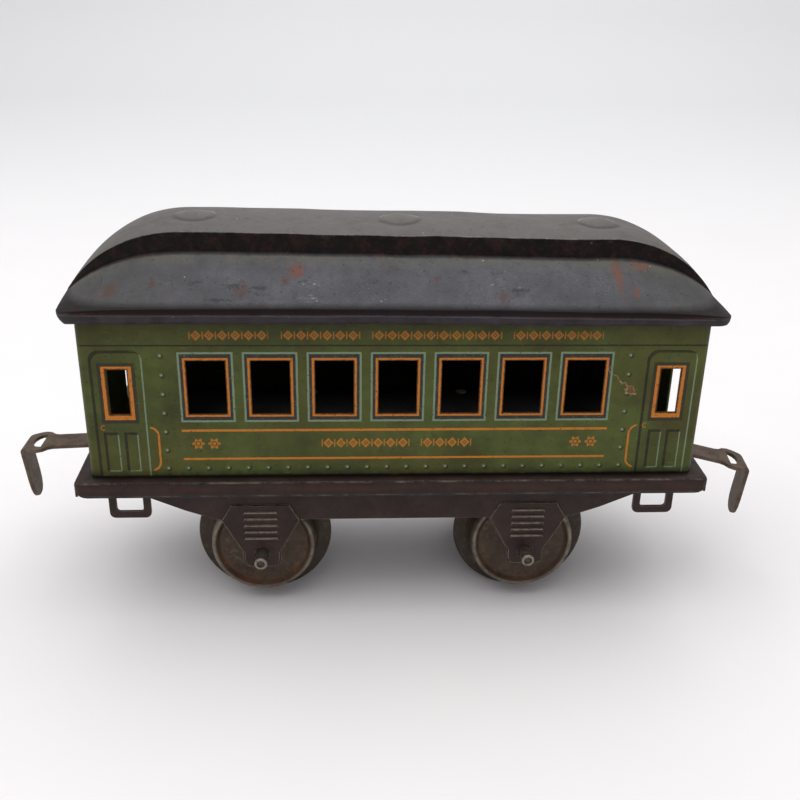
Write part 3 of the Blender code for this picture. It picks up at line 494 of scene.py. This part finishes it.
def black_enamel(name, specular):
    """The roof: black enamel worn slate grey and lightened by a painted sheen, dusty on top, with painted
    shade on the riser and in the eave's crease, rust, worn edges and pale chips.
    """
    g = Graph(name)
    across = g.absolute(g.y)
    sag = g.add(g.z, g.mul(g.most(g.x, 0.0), ROOF_TILT))
    # the base colour: worn grey enamel, lightened and blued as a painted sheen
    base = g.mix(g.ramp(g.noise(0.11, 5, 0.62), 0.34, 0.68), srgb(70, 70, 74), srgb(88, 89, 96))
    fine = g.ramp(g.noise(1.9, 4, 0.7, shift=3), 0.42, 0.72)
    base = g.coat(base, fine, 0.45, srgb(60, 58, 60))
    grain = g.ramp(g.noise(4.6, 3, 0.8, shift=44), 0.52, 0.72)
    base = g.coat(base, grain, 0.35, srgb(106, 105, 106))
    # the ends are darker and less blue, with less of the painted sheen, and soft streaks run down the slopes
    to_end = g.ramp(g.absolute(g.x), 34.0, 62.0)
    base = g.coat(base, to_end, 0.6, srgb(66, 64, 59))
    streak = g.ramp(g.noise(0.5, 5, 0.72, stretch=(1.0, 0.35, 0.35), shift=101), 0.50, 0.68)
    base = g.coat(base, streak, 0.35, srgb(58, 55, 56))
    # dust and painted sheen on the deck, and dust along the foot of the riser
    deck = g.fill(g.sub(across, 12.0), 0.7)
    dust_and_sheen = g.add(0.55, g.mul(g.noise(0.16, 5, 0.65, shift=37), 0.55))
    base = g.coat(base, deck, dust_and_sheen, srgb(99, 95, 92))
    dull = g.both(deck, g.ramp(g.noise(0.13, 5, 0.7, shift=74), 0.50, 0.66))
    base = g.coat(base, dull, 0.45, srgb(76, 71, 68))
    foot = g.both(g.ramp(across, 13.1, 14.2), g.ramp(across, 17.6, 14.4))
    foot = g.both(foot, g.ramp(g.noise(0.22, 5, 0.7, shift=71), 0.30, 0.60))
    base = g.coat(base, foot, 0.6, srgb(98, 97, 84))
    # the riser, painted nearly black as its shade, with rusty patches, and its worn upper edge with a painted
    # highlight
    uneven = g.add(across, g.mul(g.sub(g.noise(0.6, 4, 0.7, shift=85), 0.5), 0.8))
    riser = g.both(g.ramp(uneven, 11.9, 12.35), g.ramp(uneven, 14.3, 13.0))
    riser_shade_colour = g.mix(g.ramp(g.noise(0.4, 5, 0.75, shift=58), 0.46, 0.70), srgb(16, 11, 10), srgb(44, 26, 22))
    base = g.coat(base, riser, 0.97, riser_shade_colour)
    # a pale line along the deck's edge above the riser: wear and a painted highlight
    worn = g.ramp(g.noise(0.45, 5, 0.75, shift=81), 0.46, 0.62)
    base = g.coat(base, g.both(g.line(g.sub(across, 11.95), 0.14, 0.18), worn), 0.6, srgb(150, 142, 130))
    # the ventilators: a painted highlight on the cap, painted shade at the foot in front and a painted
    # highlight in an arc round the back
    from_middle = g.sub(g.x, VENT_MIDDLE_X + ROOF_SHIFT)
    over_y = g.sub(g.y, VENT_Y)
    vent = g.length(g.sub(from_middle, g.nearest(from_middle, VENT_PITCH)), over_y)
    vent = g.most(vent, g.sub(g.absolute(g.x), 50.0))
    cap_highlight = g.both(g.fill(g.sub(vent, 3.2), 2.6), g.ramp(over_y, -3.4, 2.4))
    base = g.coat(base, cap_highlight, 0.55, srgb(124, 122, 118))
    shade = g.both(g.line(g.sub(vent, 4.3), 0.35, 1.2), g.ramp(over_y, 0.8, -2.0))
    base = g.coat(base, shade, 0.75, srgb(46, 43, 42))
    arc_highlight = g.both(g.line(g.sub(vent, 4.2), 0.13, 0.3), g.ramp(over_y, 0.2, 2.4))
    base = g.coat(base, arc_highlight, 0.6, srgb(186, 180, 174))
    # rust where the enamel has gone: ragged blotches, measured on the near slope, and many small spots
    ragged = g.mul(g.sub(g.noise(1.3, 6, 0.8, shift=18), 0.5), 5.5)

    def blotch(x, y, half_x, half_y):
        u = g.math("DIVIDE", g.sub(g.x, x), half_x)
        w = g.math("DIVIDE", g.sub(g.y, y), half_y)
        return g.fill(g.sub(g.add(g.length(u, w), ragged), 0.85), 0.8)

    def blotches(spots):
        return g.either(*(blotch(*spot) for spot in spots))

    base = g.coat(base, blotches(BROWN_SPOTS), 0.55, srgb(78, 50, 41))
    rust = blotches(RUST_SPOTS)
    small = g.fill(g.sub(g.add(g.cells(0.33, shift=88), g.mul(g.noise(1.4, 4, 0.8), 0.28)), 0.25), 0.07)
    small = g.both(small, g.ramp(g.noise(0.10, 2, 0.5, shift=143), 0.48, 0.56))
    base = g.coat(base, g.either(rust, g.mul(small, 0.8)), 0.62, srgb(122, 74, 54))
    film = g.ramp(g.noise(0.26, 6, 0.74, shift=90), 0.62, 0.70)
    base = g.coat(base, film, 0.30, srgb(96, 68, 56))
    # dark smudges and scuffs, then pale scratches, on the slopes
    smudge = g.ramp(g.noise(0.6, 5, 0.78, stretch=(0.40, 1, 1), shift=131), 0.60, 0.67)
    smudge = g.both(smudge, g.ramp(across, 15.5, 17.5))
    base = g.coat(base, g.either(smudge, blotches(SCUFFS)), 0.6, srgb(38, 36, 37))
    climb = g.sub(g.mul(g.sub(g.x, 20.5), 1.12), g.add(g.y, 19.0))
    long_scratch = g.line(g.add(climb, g.mul(ragged, 0.4)), 0.2, 0.25)
    long_scratch = g.both(long_scratch, g.fill(g.sub(g.absolute(g.add(g.y, 19.0)), 2.6)))
    thin = g.ramp(g.noise(1.5, 4, 0.8, stretch=(0.6, 1, 1), shift=152), 0.54, 0.62)
    scratches = g.either(blotches(PALE_SCRATCHES), long_scratch)
    base = g.coat(base, g.both(scratches, thin), 0.7, srgb(150, 147, 142))
    # pale flecks in loose clusters, larger chips and dark pits
    flecks = g.fill(g.sub(g.cells(1.3, shift=36), 0.10), 0.07)
    flecks = g.both(flecks, g.ramp(g.noise(0.16, 4, 0.6, shift=29), 0.50, 0.60))
    base = g.coat(base, flecks, 0.55, srgb(164, 160, 154))
    chips = g.fill(g.sub(g.add(g.cells(0.24, shift=41), g.mul(g.noise(2.2, 3, 0.8), 0.05)), 0.065), 0.03)
    chips = g.both(chips, g.ramp(g.noise(0.15, 2, 0.5, shift=5), 0.48, 0.54))
    base = g.coat(base, chips, 0.8, srgb(186, 180, 172))
    dark_pits = g.fill(g.sub(g.cells(0.6, shift=63), 0.12), 0.08)
    base = g.coat(base, dark_pits, 0.55, srgb(38, 35, 36))
    # the riser's painted shade once more, over the marks, so that it stays dark
    base = g.coat(base, riser, 0.8, riser_shade_colour)
    # painted shade in the crease above the rolled eave, rusty along its lower side, and the grey lip below
    # it, its grey partly a painted reflection of the floor
    edge = g.add(sag, g.mul(g.sub(g.noise(0.35, 4, 0.7, shift=66), 0.5), 0.35))
    crease = g.both(g.ramp(edge, 72.6, 71.65), g.ramp(edge, 70.45, 70.75))
    base = g.coat(base, crease, 0.94, srgb(22, 14, 14))
    rusty = g.both(g.line(g.sub(sag, 70.6), 0.14, 0.3), g.ramp(g.noise(0.3, 5, 0.7, shift=27), 0.42, 0.60))
    base = g.coat(base, rusty, 0.55, srgb(86, 44, 34))
    # the lip's grey is partly a painted reflection of the floor
    below = g.ramp(sag, 70.55, 70.25)
    lip = g.mix(g.ramp(g.noise(0.2, 5, 0.7, shift=2), 0.38, 0.64), srgb(38, 33, 36), srgb(56, 51, 56))
    base = g.coat(base, below, 0.92, lip)
    # matter where the enamel is rusty or dirty, with soft unevenness
    rough = g.add(0.42, g.mul(g.noise(0.35, 5, 0.65, shift=6), 0.26))
    rough = g.add(rough, g.mul(g.either(rust, film, riser), 0.2))
    pits = g.add(g.mul(g.noise(0.09, 3, 0.5, shift=51), 2.4), g.mul(g.noise(1.3, 5, 0.65, shift=7), 0.16))
    g.bump(g.sub(pits, g.mul(rust, 0.10)), 0.5, 0.5)
    return g.finish(base, rough, 0.0, specular)


def brown_enamel(name, worn_and_highlit_edge=False):
    """Pan, side frames and brackets: brown-black enamel, or its edge, where it is rubbed through and given a
    painted highlight.
    """
    g = Graph(name)
    base = g.mix(g.ramp(g.noise(0.16, 5, 0.62), 0.35, 0.68), srgb(42, 31, 27), srgb(58, 44, 39))
    ax = g.absolute(g.x)
    ay = g.absolute(g.y)
    # the pan's folded edge: reddish runs, a greyer hem at its foot and rubbed folds
    outside = g.either(g.fill(g.sub(27.2, ay), 0.2), g.fill(g.sub(66.4, ax), 0.2))
    rust_run = g.ramp(g.noise(0.16, 5, 0.72, stretch=(0.5, 1, 3), shift=9), 0.36, 0.58)
    reddish = g.both(g.line(g.sub(g.z, 32.3), 0.7, 0.9), outside, rust_run)
    base = g.coat(base, outside, 0.4, srgb(27, 19, 17))
    base = g.coat(base, reddish, 0.7, srgb(66, 37, 28))
    hem = g.both(g.fill(g.sub(g.z, 31.3), 0.5), g.fill(g.sub(30.5, g.z), 0.1), outside)
    base = g.coat(base, hem, 0.5, srgb(46, 44, 46))
    rubbing = g.ramp(g.noise(0.5, 5, 0.75, stretch=(0.5, 1, 1), shift=47), 0.44, 0.64)
    folds = g.either(g.line(g.sub(g.z, 33.85), 0.12, 0.3), g.mul(g.line(g.sub(g.z, 30.9), 0.08, 0.3), 0.7))
    base = g.coat(base, g.both(folds, outside, rubbing), 0.6, srgb(140, 128, 120))
    # mottling and specks all over
    mottled = g.ramp(g.noise(0.9, 6, 0.78, shift=15), 0.55, 0.76)
    base = g.coat(base, mottled, 0.30, srgb(72, 58, 50))
    dark = g.ramp(g.noise(0.5, 5, 0.7, shift=60), 0.52, 0.75)
    base = g.coat(base, dark, 0.5, srgb(18, 14, 14))
    specks = g.fill(g.sub(g.cells(0.8, shift=23), 0.07), 0.07)
    base = g.coat(base, specks, 0.5, srgb(104, 80, 66))
    # the pan's top: a painted shadow along the walls' feet, and bare inside them, painted nearly black as
    # shade
    on_top = g.ramp(g.z, 33.9, 34.1)
    wall_foot_shadow = g.both(g.ramp(g.rectangle(g.x, g.y, (0, 0), (64.0, 25.4)), 1.3, 0.3), on_top)
    base = g.coat(base, wall_foot_shadow, 0.75, srgb(10, 8, 8))
    floor_inside = g.fill(g.rectangle(g.x, g.y, (0, 0), (62.2, 24.4)), 0.2)
    base = g.mix(g.both(floor_inside, on_top), base, INSIDE_SHADE)
    # painted highlights along the upper edges of the louvre ribs
    rib = g.sub(g.z, LOUVRE_RIB_Z)
    rib = g.sub(rib, g.nearest(rib, LOUVRE_PITCH))
    louvres = g.fill(g.rectangle(ax, g.z, (AXLE_X, LOUVRES_Z), (3.5, 3.5)), 0.1)
    rib = g.both(g.line(rib, 0.12, 0.16), louvres, g.fill(g.sub(24.0, ay), 0.2))
    rib = g.both(rib, g.ramp(g.noise(1.1, 4, 0.7, shift=19), 0.32, 0.56))
    base = g.coat(base, rib, 0.65, srgb(150, 138, 126))
    metal = 0.0
    if worn_and_highlit_edge:
        # rubbed bright and given a painted highlight, but hardly at all where the louvres' edges don't face
        # up
        rubbed_and_highlit = g.ramp(g.noise(0.7, 5, 0.75, shift=29), 0.26, 0.48)
        louvres = g.fill(g.rectangle(ax, g.z, (AXLE_X, LOUVRES_Z), (4.4, 4.4)), 0.1)
        downward = g.ramp(g.normal()[2], 0.45, 0.1)
        rubbed_and_highlit = g.mul(rubbed_and_highlit, g.sub(1.0, g.mul(louvres, g.mul(downward, 0.9))))
        base = g.coat(base, rubbed_and_highlit, 0.95, srgb(196, 178, 160))
        metal = g.mul(rubbed_and_highlit, 0.2)
    rough = g.add(0.30, g.mul(g.noise(0.9, 4, 0.65, shift=6), 0.30))
    waves = g.mul(g.noise(0.2, 3, 0.5, shift=51), 1.2)
    g.bump(g.add(waves, g.mul(g.noise(2.4, 4, 0.65, shift=7), 0.07)), 0.3, 0.5)
    return g.finish(base, rough, metal, 0.2)


def tarnished(name, clean, stain, dark, metallic, shift, scale=0.3, tip=None):
    """Dull steel with brown stains. Further out than the tip, if given, it is worn bright."""
    g = Graph(name)
    base = g.mix(g.ramp(g.noise(scale, 5, 0.65, shift=shift), 0.38, 0.66), clean, stain)
    base = g.coat(base, g.ramp(g.noise(scale * 3.5, 5, 0.75, shift=shift + 8), 0.48, 0.72), 0.6, dark)
    rust = g.ramp(g.noise(scale * 1.5, 6, 0.75, shift=shift + 40), 0.60, 0.70)
    base = g.coat(base, rust, 0.7, RUST)
    if tip:
        worn = g.both(g.ramp(g.absolute(g.y), tip, tip + 0.3), g.ramp(g.noise(1.3, 4, 0.7), 0.30, 0.48))
        base = g.coat(base, worn, 0.7, srgb(158, 148, 136))
    rough = g.add(0.42, g.mul(g.noise(scale * 4, 4, 0.65, shift=6), 0.3))
    lines = g.noise(1.6, 3, 0.6, stretch=(1, 0.2, 1), shift=shift)
    g.bump(g.add(g.mul(lines, 0.15), g.mul(g.noise(1.2, 5, 0.7, shift=11), 0.4)), 0.12, 0.6)
    return g.finish(base, rough, g.sub(metallic, g.mul(rust, 0.6)))


def wheel_tin(name):
    """Tinned wheel pressing: a lighter rim bead with a painted highlight towards its top, a brown dish, a
    rusty ring and a dark flange.
    """
    g = Graph(name)
    dz = g.sub(g.z, AXLE_Z)
    far = g.length(g.sub(g.absolute(g.x), AXLE_X), dz)
    base = g.mix(g.ramp(g.noise(0.28, 5, 0.68, shift=3), 0.36, 0.66), srgb(75, 60, 44), srgb(53, 37, 26))
    base = g.coat(base, g.ramp(g.noise(1.1, 5, 0.75, shift=12), 0.50, 0.74), 0.5, srgb(36, 27, 22))
    rim = g.both(g.line(g.sub(far, 10.95), 0.40, 0.45), g.ramp(g.noise(0.30, 5, 0.75, shift=63), 0.32, 0.58))
    # painted highlight: the rim bead is lighter towards its top
    rim = g.mul(rim, g.add(0.7, g.mul(g.ramp(dz, -9.0, 2.0), 0.3)))
    base = g.coat(base, rim, 0.9, srgb(136, 129, 116))
    # the rusty ring shows in the dish's lower half, and more on the left wheels than on the right ones
    low = g.mul(g.ramp(dz, 1.0, -7.0), g.value_mix(g.fill(g.x, 1.0), 0.3, 1.0))
    ring = g.both(g.line(g.sub(far, 9.9), 0.7, 1.0), g.ramp(g.noise(0.25, 4, 0.7, shift=80), 0.38, 0.62))
    base = g.coat(base, g.both(ring, g.add(0.15, g.mul(low, 0.7))), 0.85, srgb(98, 54, 28))
    base = g.coat(base, g.ramp(far, 11.9, 12.6), 0.55, srgb(40, 30, 25))
    dust = g.ramp(g.noise(0.6, 6, 0.78, shift=30), 0.55, 0.70)
    base = g.coat(base, dust, 0.5, srgb(112, 102, 84))
    rough = g.add(0.36, g.mul(g.noise(1.1, 4, 0.65, shift=6), 0.30))
    g.bump(g.add(g.noise(0.35, 4, 0.6, shift=11), g.mul(g.noise(2.5, 4, 0.7, shift=2), 0.08)), 0.2, 0.5)
    return g.finish(base, rough, g.add(0.35, g.mul(rim, 0.3)))


# ---------------------------------------------------------------- meshes


def make_object(name, build, material, body, node, smooth):
    """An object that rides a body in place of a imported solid. Folds sharper than the angle stay sharp."""
    bmesh.ops.recalc_face_normals(build, faces=build.faces)
    mesh = bpy.data.meshes.new(name)
    build.to_mesh(mesh)
    build.free()
    mesh.materials.clear()
    mesh.materials.append(material)
    mesh.shade_smooth()
    mesh.set_sharp_from_angle(angle=math.radians(smooth))
    obj = bpy.data.objects.new(name, mesh)
    bpy.context.collection.objects.link(obj)
    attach(obj, body)
    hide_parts(node)
    return obj


def soften(obj, width, segments, angle):
    """Rounds the edges that are sharper than the angle."""
    bevel = obj.modifiers.new("softened edges", "BEVEL")
    bevel.width = width * MM
    bevel.segments = segments
    bevel.limit_method = "ANGLE"
    bevel.angle_limit = math.radians(angle)
    return bevel


def refined(node, name, material, body, width, segments=2, edge=None, reshape=None):
    """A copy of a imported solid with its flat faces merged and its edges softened."""
    build = bmesh.new()
    build.from_mesh(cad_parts[node].data)
    if reshape:
        for vert in build.verts:
            vert.co = reshape(vert.co)
    bmesh.ops.remove_doubles(build, verts=build.verts, dist=1e-6)
    bmesh.ops.dissolve_limit(build, angle_limit=math.radians(1.0), verts=build.verts, edges=build.edges)
    obj = make_object(name, build, material, body, node, 35.0)
    bevel = soften(obj, width, segments, 38)
    bevel.use_clamp_overlap = True
    bevel.harden_normals = True
    if edge:
        obj.data.materials.append(edge)
        bevel.material = 1


def grid_faces(build, rows, closed_rows=False, closed_columns=False):
    """Faces between neighbouring rows of vertices."""
    last_row = len(rows) if closed_rows else len(rows) - 1
    for i in range(last_row):
        low = rows[i]
        high = rows[(i + 1) % len(rows)]
        last = len(low) if closed_columns else len(low) - 1
        for j in range(last):
            k = (j + 1) % len(low)
            build.faces.new((low[j], low[k], high[k], high[j]))


def wheel(side, end):
    """A pressed wheel, turned from its profile: a hub, a dish, a rolled rim and a thin flange."""
    node = f"wheel_{side}_{end}"
    low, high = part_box(node)
    centre = (low + high) / 2
    radius = (high[2] - low[2]) / 2 / MM
    out = math.copysign(1, centre[1])
    face, back = sorted((abs(low[1]) / MM, abs(high[1]) / MM), reverse=True)
    # each point is a radius and a distance from the coach's middle plane
    profile = [
        (1.7, face - 0.7),
        (3.0, face - 0.7),
        (4.0, face - 1.1),
        (9.7, face - 1.1),
        (10.15, face - 0.6),
        (10.5, face - 0.12),
        (10.85, face),
        (11.2, face - 0.1),
        (11.42, face - 0.5),
        (11.52, face - 1.6),
        (11.75, back + 1.8),
        (12.3, back + 0.95),
        (radius - 0.3, back + 0.8),
        (radius, back + 0.5),
        (radius, back + 0.25),
        (radius - 0.3, back),
        (11.75, back),
        (10.75, back + 1.0),
        (10.6, face - 1.85),
        (1.7, face - 1.85),
    ]
    build = bmesh.new()
    rows = []
    for r, depth in profile:
        row = []
        for i in range(WHEEL_STEPS):
            angle = 2 * math.pi * i / WHEEL_STEPS
            point = Vector((math.cos(angle) * r, 0, math.sin(angle) * r))
            dent = 0.07 * noise.noise(Vector((point.x, point.z, 7 * out)) * 0.16) if 4.5 < r < 11.3 else 0
            place = (centre[0] + point.x * MM, out * (depth + min(0, dent)) * MM, centre[2] + point.z * MM)
            row.append(build.verts.new(place))
        rows.append(row)
    grid_faces(build, rows, closed_rows=True, closed_columns=True)
    soften(make_object(f"pressed_{node}", build, WHEEL_TIN, f"wheelset_{end}", node, 50.0), 0.18, 3, 25)


def smoothstep(low, high, value):
    share = min(1.0, max(0.0, (value - low) / (high - low)))
    return share * share * (3 - 2 * share)


def roof():
    """The roof pressing on a fine grid, with soft dents, a wavy rolled eave and three low ventilators.

    A column of the grid is a distance across the coach and a rise above the eave. The stations run from -2 at
    the left end to 2 at the right end, with the level part between -1 and 1.
    """
    low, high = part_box("roof")
    half_y = high[1] / MM
    half_x = high[0] / MM - END_BOW
    run = half_x + END_BOW - LEVEL_HALF
    end_radius = (run**2 + EAVE_TO_CROWN**2) / (2 * EAVE_TO_CROWN)
    columns = []
    for i in range(SLOPE_STRIPS + 1):
        share = (i / SLOPE_STRIPS) ** 1.5
        columns.append((half_y - share * (half_y - STEP_BASE_Y), LOWER_RISE * share**0.9))
    for share in (0.06, 0.18, 0.36, 0.64, 0.84, 0.95):
        bend = smoothstep(0, 1, share)
        y = STEP_BASE_Y + (STEP_TOP_Y - STEP_BASE_Y) * bend
        columns.append((y, LOWER_RISE + (STEP_TOP_RISE - LOWER_RISE) * share))
    crown = EAVE_TO_CROWN - STEP_TOP_RISE
    for i in range(CROWN_STRIPS + 1):
        share = 1 - i / CROWN_STRIPS
        columns.append((STEP_TOP_Y * share, EAVE_TO_CROWN - crown * share**2.2))
    columns = [(-y, rise) for y, rise in columns] + [(y, rise) for y, rise in reversed(columns[:-1])]
    level = [i / LEVEL_STATIONS for i in range(LEVEL_STATIONS + 1)]
    ends = [1 + i / END_STATIONS for i in range(1, END_STATIONS + 1)]
    stations = [-s for s in reversed(ends)] + [-s for s in reversed(level[1:])] + level + ends

    def surface(station, y, rise):
        # the ends bow outwards and have rounded corners
        size = abs(station)
        bow = END_BOW * (1 - (y / half_y) ** 2)
        into = max(0, abs(y) - (half_y - EAVE_CORNER))
        reach = half_x + bow - (EAVE_CORNER - math.sqrt(EAVE_CORNER**2 - into**2))
        along = max(0, size - 1) ** 0.85
        x = min(size, 1) * LEVEL_HALF + along * (reach - LEVEL_HALF)
        # beyond the level part, the roof curves down to the eave
        drop = end_radius - math.sqrt(end_radius**2 - (along * run) ** 2)
        height = rise * (1 - drop / EAVE_TO_CROWN)
        x = math.copysign(x, station)
        # the ventilators, each with a shallow groove round it
        for vent in (-1, 0, 1):
            far = math.hypot(x - (VENT_MIDDLE_X + vent * VENT_PITCH), y - VENT_Y) / VENT_RADIUS
            groove = 0.10 * math.exp(-(((far - 1.02) * 9) ** 2))
            height += VENT_HEIGHT * (1 - smoothstep(0.0, 1.0, far)) - groove
        # dents, the uneven eave, the crease above it and the tilt
        spot = Vector((x, y, 3.0))
        inner = min(1.0, height / 2.0)
        dent = noise.noise(spot * 0.045) * 0.34 + noise.noise(spot * 0.13) * 0.12 - 0.12
        wave = noise.noise(Vector((x, 0 if abs(y) < 20 else y, 40)) * 0.10) * 0.12 * (1 - inner)
        shift = noise.noise(Vector((x * 0.09, math.copysign(9, y), 0))) * 0.20 * (1 - inner) - 0.1
        y_out = y - math.copysign(max(0.0, 0.1 - shift) * (1 - inner), y)
        crease = 0.28 * math.exp(-(((rise - 0.5) / 0.3) ** 2))
        tilt = -ROOF_TILT * x * (1 if x > 0 else rise / EAVE_TO_CROWN)
        z = EAVE_Z + height + min(0.0, dent) * inner + wave - crease + tilt
        return Vector((x + ROOF_SHIFT, y_out, z))

    build = bmesh.new()
    rows = [[build.verts.new(surface(s, y, rise) * MM) for y, rise in columns] for s in stations]
    grid_faces(build, rows)
    border = [row[0] for row in rows] + rows[-1][1:]
    border += [row[-1] for row in reversed(rows[:-1])] + list(reversed(rows[0][1:-1]))
    lip = [border]
    for inset, fall in ((0.0, 0.3), (0.03, 0.7), (0.16, 1.2), (0.42, 1.7), (0.85, 2.1), (1.5, 2.4)):
        ring = []
        for i, vert in enumerate(border):
            along = border[(i + 1) % len(border)].co - border[i - 1].co
            inwards = Vector((-along.y, along.x, 0)).normalized()
            height = max(vert.co.z - fall * MM, low[2])
            ring.append(build.verts.new(Vector((vert.co.x, vert.co.y, height)) + inset * MM * inwards))
        lip.append(ring)
    grid_faces(build, lip, closed_columns=True)
    made = make_object("roof_pressing", build, ROOF_BLACK, "coach", "roof", 55.0)
    # the strips along the eave are duller
    made.data.materials.append(CREASE_BLACK)
    strips = len(columns) - 1
    for face in made.data.polygons[: strips * (len(stations) - 1)]:
        if not CREASE_STRIPS <= face.index % strips < strips - CREASE_STRIPS:
            face.material_index = 1
    sheet = made.modifiers.new("sheet", "SOLIDIFY")
    sheet.thickness = ROOF_SHEET * MM
    sheet.offset = -1


# ---------------------------------------------------------------- materials

SIDE_PRINT = litho("olive_side_print", True)
END_PRINT = litho("olive_end_paint", False)
ROOF_BLACK = black_enamel("roof_black_enamel", 0.16)
CREASE_BLACK = black_enamel("roof_crease_enamel", 0.02)
FRAME_BROWN = brown_enamel("frame_brown_enamel")
FRAME_EDGE = brown_enamel("frame_worn_and_highlit_edge", True)
WHEEL_TIN = wheel_tin("wheel_tarnished_tin")
AXLE_WIRE = tarnished(
    "axle_dull_wire", srgb(104, 97, 88), srgb(76, 64, 54), srgb(42, 34, 30), 0.7, 19, scale=0.6, tip=28.9
)
STRIP_STEEL = tarnished("strip_bronzed_steel", srgb(104, 89, 74), srgb(78, 62, 49), srgb(40, 31, 27), 0.6, 37)

# ---------------------------------------------------------------- the 34 pieces


def down_to_the_pan(place):
    """The walls stand on the pan, without the gap that the solids keep."""
    return Vector((place.x, place.y, PAN_TOP * MM)) if place.z < (PAN_TOP + 0.6) * MM else place


for side in ("near", "far"):
    refined(f"side_wall_{side}", f"side_print_{side}", SIDE_PRINT, "coach", 0.10, reshape=down_to_the_pan)
    refined(f"side_frame_{side}", f"axle_guard_{side}", FRAME_BROWN, "coach", 0.2, 3, edge=FRAME_EDGE)
for end in ("left", "right"):
    refined(f"end_wall_{end}", f"end_panel_{end}", END_PRINT, "coach", 0.10, reshape=down_to_the_pan)
    refined(f"coupler_guide_{end}", f"guide_bracket_{end}", FRAME_BROWN, "coach", 0.10)
    refined(f"coupler_rivet_{end}", f"pivot_rivet_{end}", STRIP_STEEL, "coach", 0.08)
    refined(f"coupler_spacer_{end}", f"pivot_spacer_{end}", AXLE_WIRE, "coach", 0.08)
    refined(f"coupler_{end}", f"coupler_strip_{end}", STRIP_STEEL, f"coupler_{end}", 0.12)
    refined(f"axle_{end}", f"axle_rod_{end}", AXLE_WIRE, f"wheelset_{end}", 0.08)
    for side in ("near", "far"):
        refined(f"wall_tab_{side}_{end}", f"bent_tab_{side}_{end}", END_PRINT, "coach", 0.06)
        refined(f"frame_rivet_{side}_{end}", f"small_rivet_{side}_{end}", STRIP_STEEL, "coach", 0.06)
        wheel(side, end)
        refined(f"axle_sleeve_{side}_{end}", f"sleeve_{side}_{end}", AXLE_WIRE, f"wheelset_{end}", 0.06)
refined("floor_pan", "platform_pan", FRAME_BROWN, "coach", 0.14, edge=FRAME_EDGE)
roof()

# ---------------------------------------------------------------- stage, light and camera

FLOOR_HALF = 3.0
FLOOR_PROFILE = ((-1.5, 0.0), (0.55, 0.0), (0.85, 0.02), (1.05, 0.10), (1.18, 0.25), (1.25, 0.6), (1.25, 2.0))
floor_build = bmesh.new()
floor_rows = []
for back, height in FLOOR_PROFILE:
    floor_rows.append([floor_build.verts.new((x, back, height)) for x in (-FLOOR_HALF, FLOOR_HALF)])
grid_faces(floor_build, floor_rows)
bmesh.ops.recalc_face_normals(floor_build, faces=floor_build.faces)
floor_mesh = bpy.data.meshes.new("sweep")
floor_build.to_mesh(floor_mesh)
floor_build.free()
floor_mesh.shade_smooth()
floor = bpy.data.objects.new("sweep", floor_mesh)
bpy.context.collection.objects.link(floor)
paper = Graph("pale_paper")
near_paper = paper.mix(paper.noise(0.02, 3), srgb(236, 234, 236), srgb(242, 240, 241))
# painted shade: the paper is darker further back
paper_colour = paper.mix(paper.ramp(paper.y, 150, 700), near_paper, srgb(228, 229, 231))
floor_mesh.materials.append(paper.finish(paper_colour, 0.75, 0.0))


def area_light(name, place, aim, size, power, colour=(1, 1, 1)):
    lamp = bpy.data.lights.new(name, "AREA")
    lamp.shape = "RECTANGLE"
    lamp.size, lamp.size_y = size
    lamp.energy = power
    lamp.color = colour
    obj = bpy.data.objects.new(name, lamp)
    obj.location = place
    obj.rotation_euler = (Vector(aim) - Vector(place)).to_track_quat("-Z", "Y").to_euler()
    bpy.context.collection.objects.link(obj)


area_light("overhead_softbox", (-0.05, 0.05, 1.1), (0, 0, 0.03), (2.2, 1.6), 18.6, (1.0, 0.99, 0.98))
area_light("front_fill", (0.1, -1.1, 0.75), (0, 0, 0.04), (1.2, 0.7), 1.3, (1.0, 0.99, 1.0))
area_light("left_fill", (-0.9, -0.2, 0.5), (0, 0, 0.04), (0.7, 0.7), 0.9)

world = bpy.context.scene.world or bpy.data.worlds.new("studio")
bpy.context.scene.world = world
world.use_nodes = True
background = world.node_tree.nodes["Background"]
background.inputs["Color"].default_value = (1.0, 0.99, 1.0, 1)
background.inputs["Strength"].default_value = 0.32

# The camera was solved from the photo. Its focal length is a share of the picture's width.
FOCAL_SHARE = 1.210825
SENSOR = 36.0
CAMERA_PLACE = Vector((-10.756, -208.854, 129.517)) * MM
PITCH = math.radians(22.951)
YAW = math.radians(3.516)
ROLL = math.radians(1.149)
forward = Vector((math.sin(YAW) * math.cos(PITCH), math.cos(YAW) * math.cos(PITCH), -math.sin(PITCH)))
level_right = Vector((math.cos(YAW), -math.sin(YAW), 0))
level_up = level_right.cross(forward)
right = level_right * math.cos(ROLL) + level_up * math.sin(ROLL)
up = level_up * math.cos(ROLL) - level_right * math.sin(ROLL)
lens = bpy.data.cameras.new("camera")
lens.sensor_width = SENSOR
lens.lens = FOCAL_SHARE * SENSOR
lens.clip_start = 0.01
camera = bpy.data.objects.new("camera", lens)
camera.matrix_world = Matrix(
    (
        (right.x, up.x, -forward.x, CAMERA_PLACE.x),
        (right.y, up.y, -forward.y, CAMERA_PLACE.y),
        (right.z, up.z, -forward.z, CAMERA_PLACE.z),
        (0, 0, 0, 1),
    )
)
bpy.context.collection.objects.link(camera)
bpy.context.scene.camera = camera
bpy.context.scene.view_settings.view_transform = "Standard"
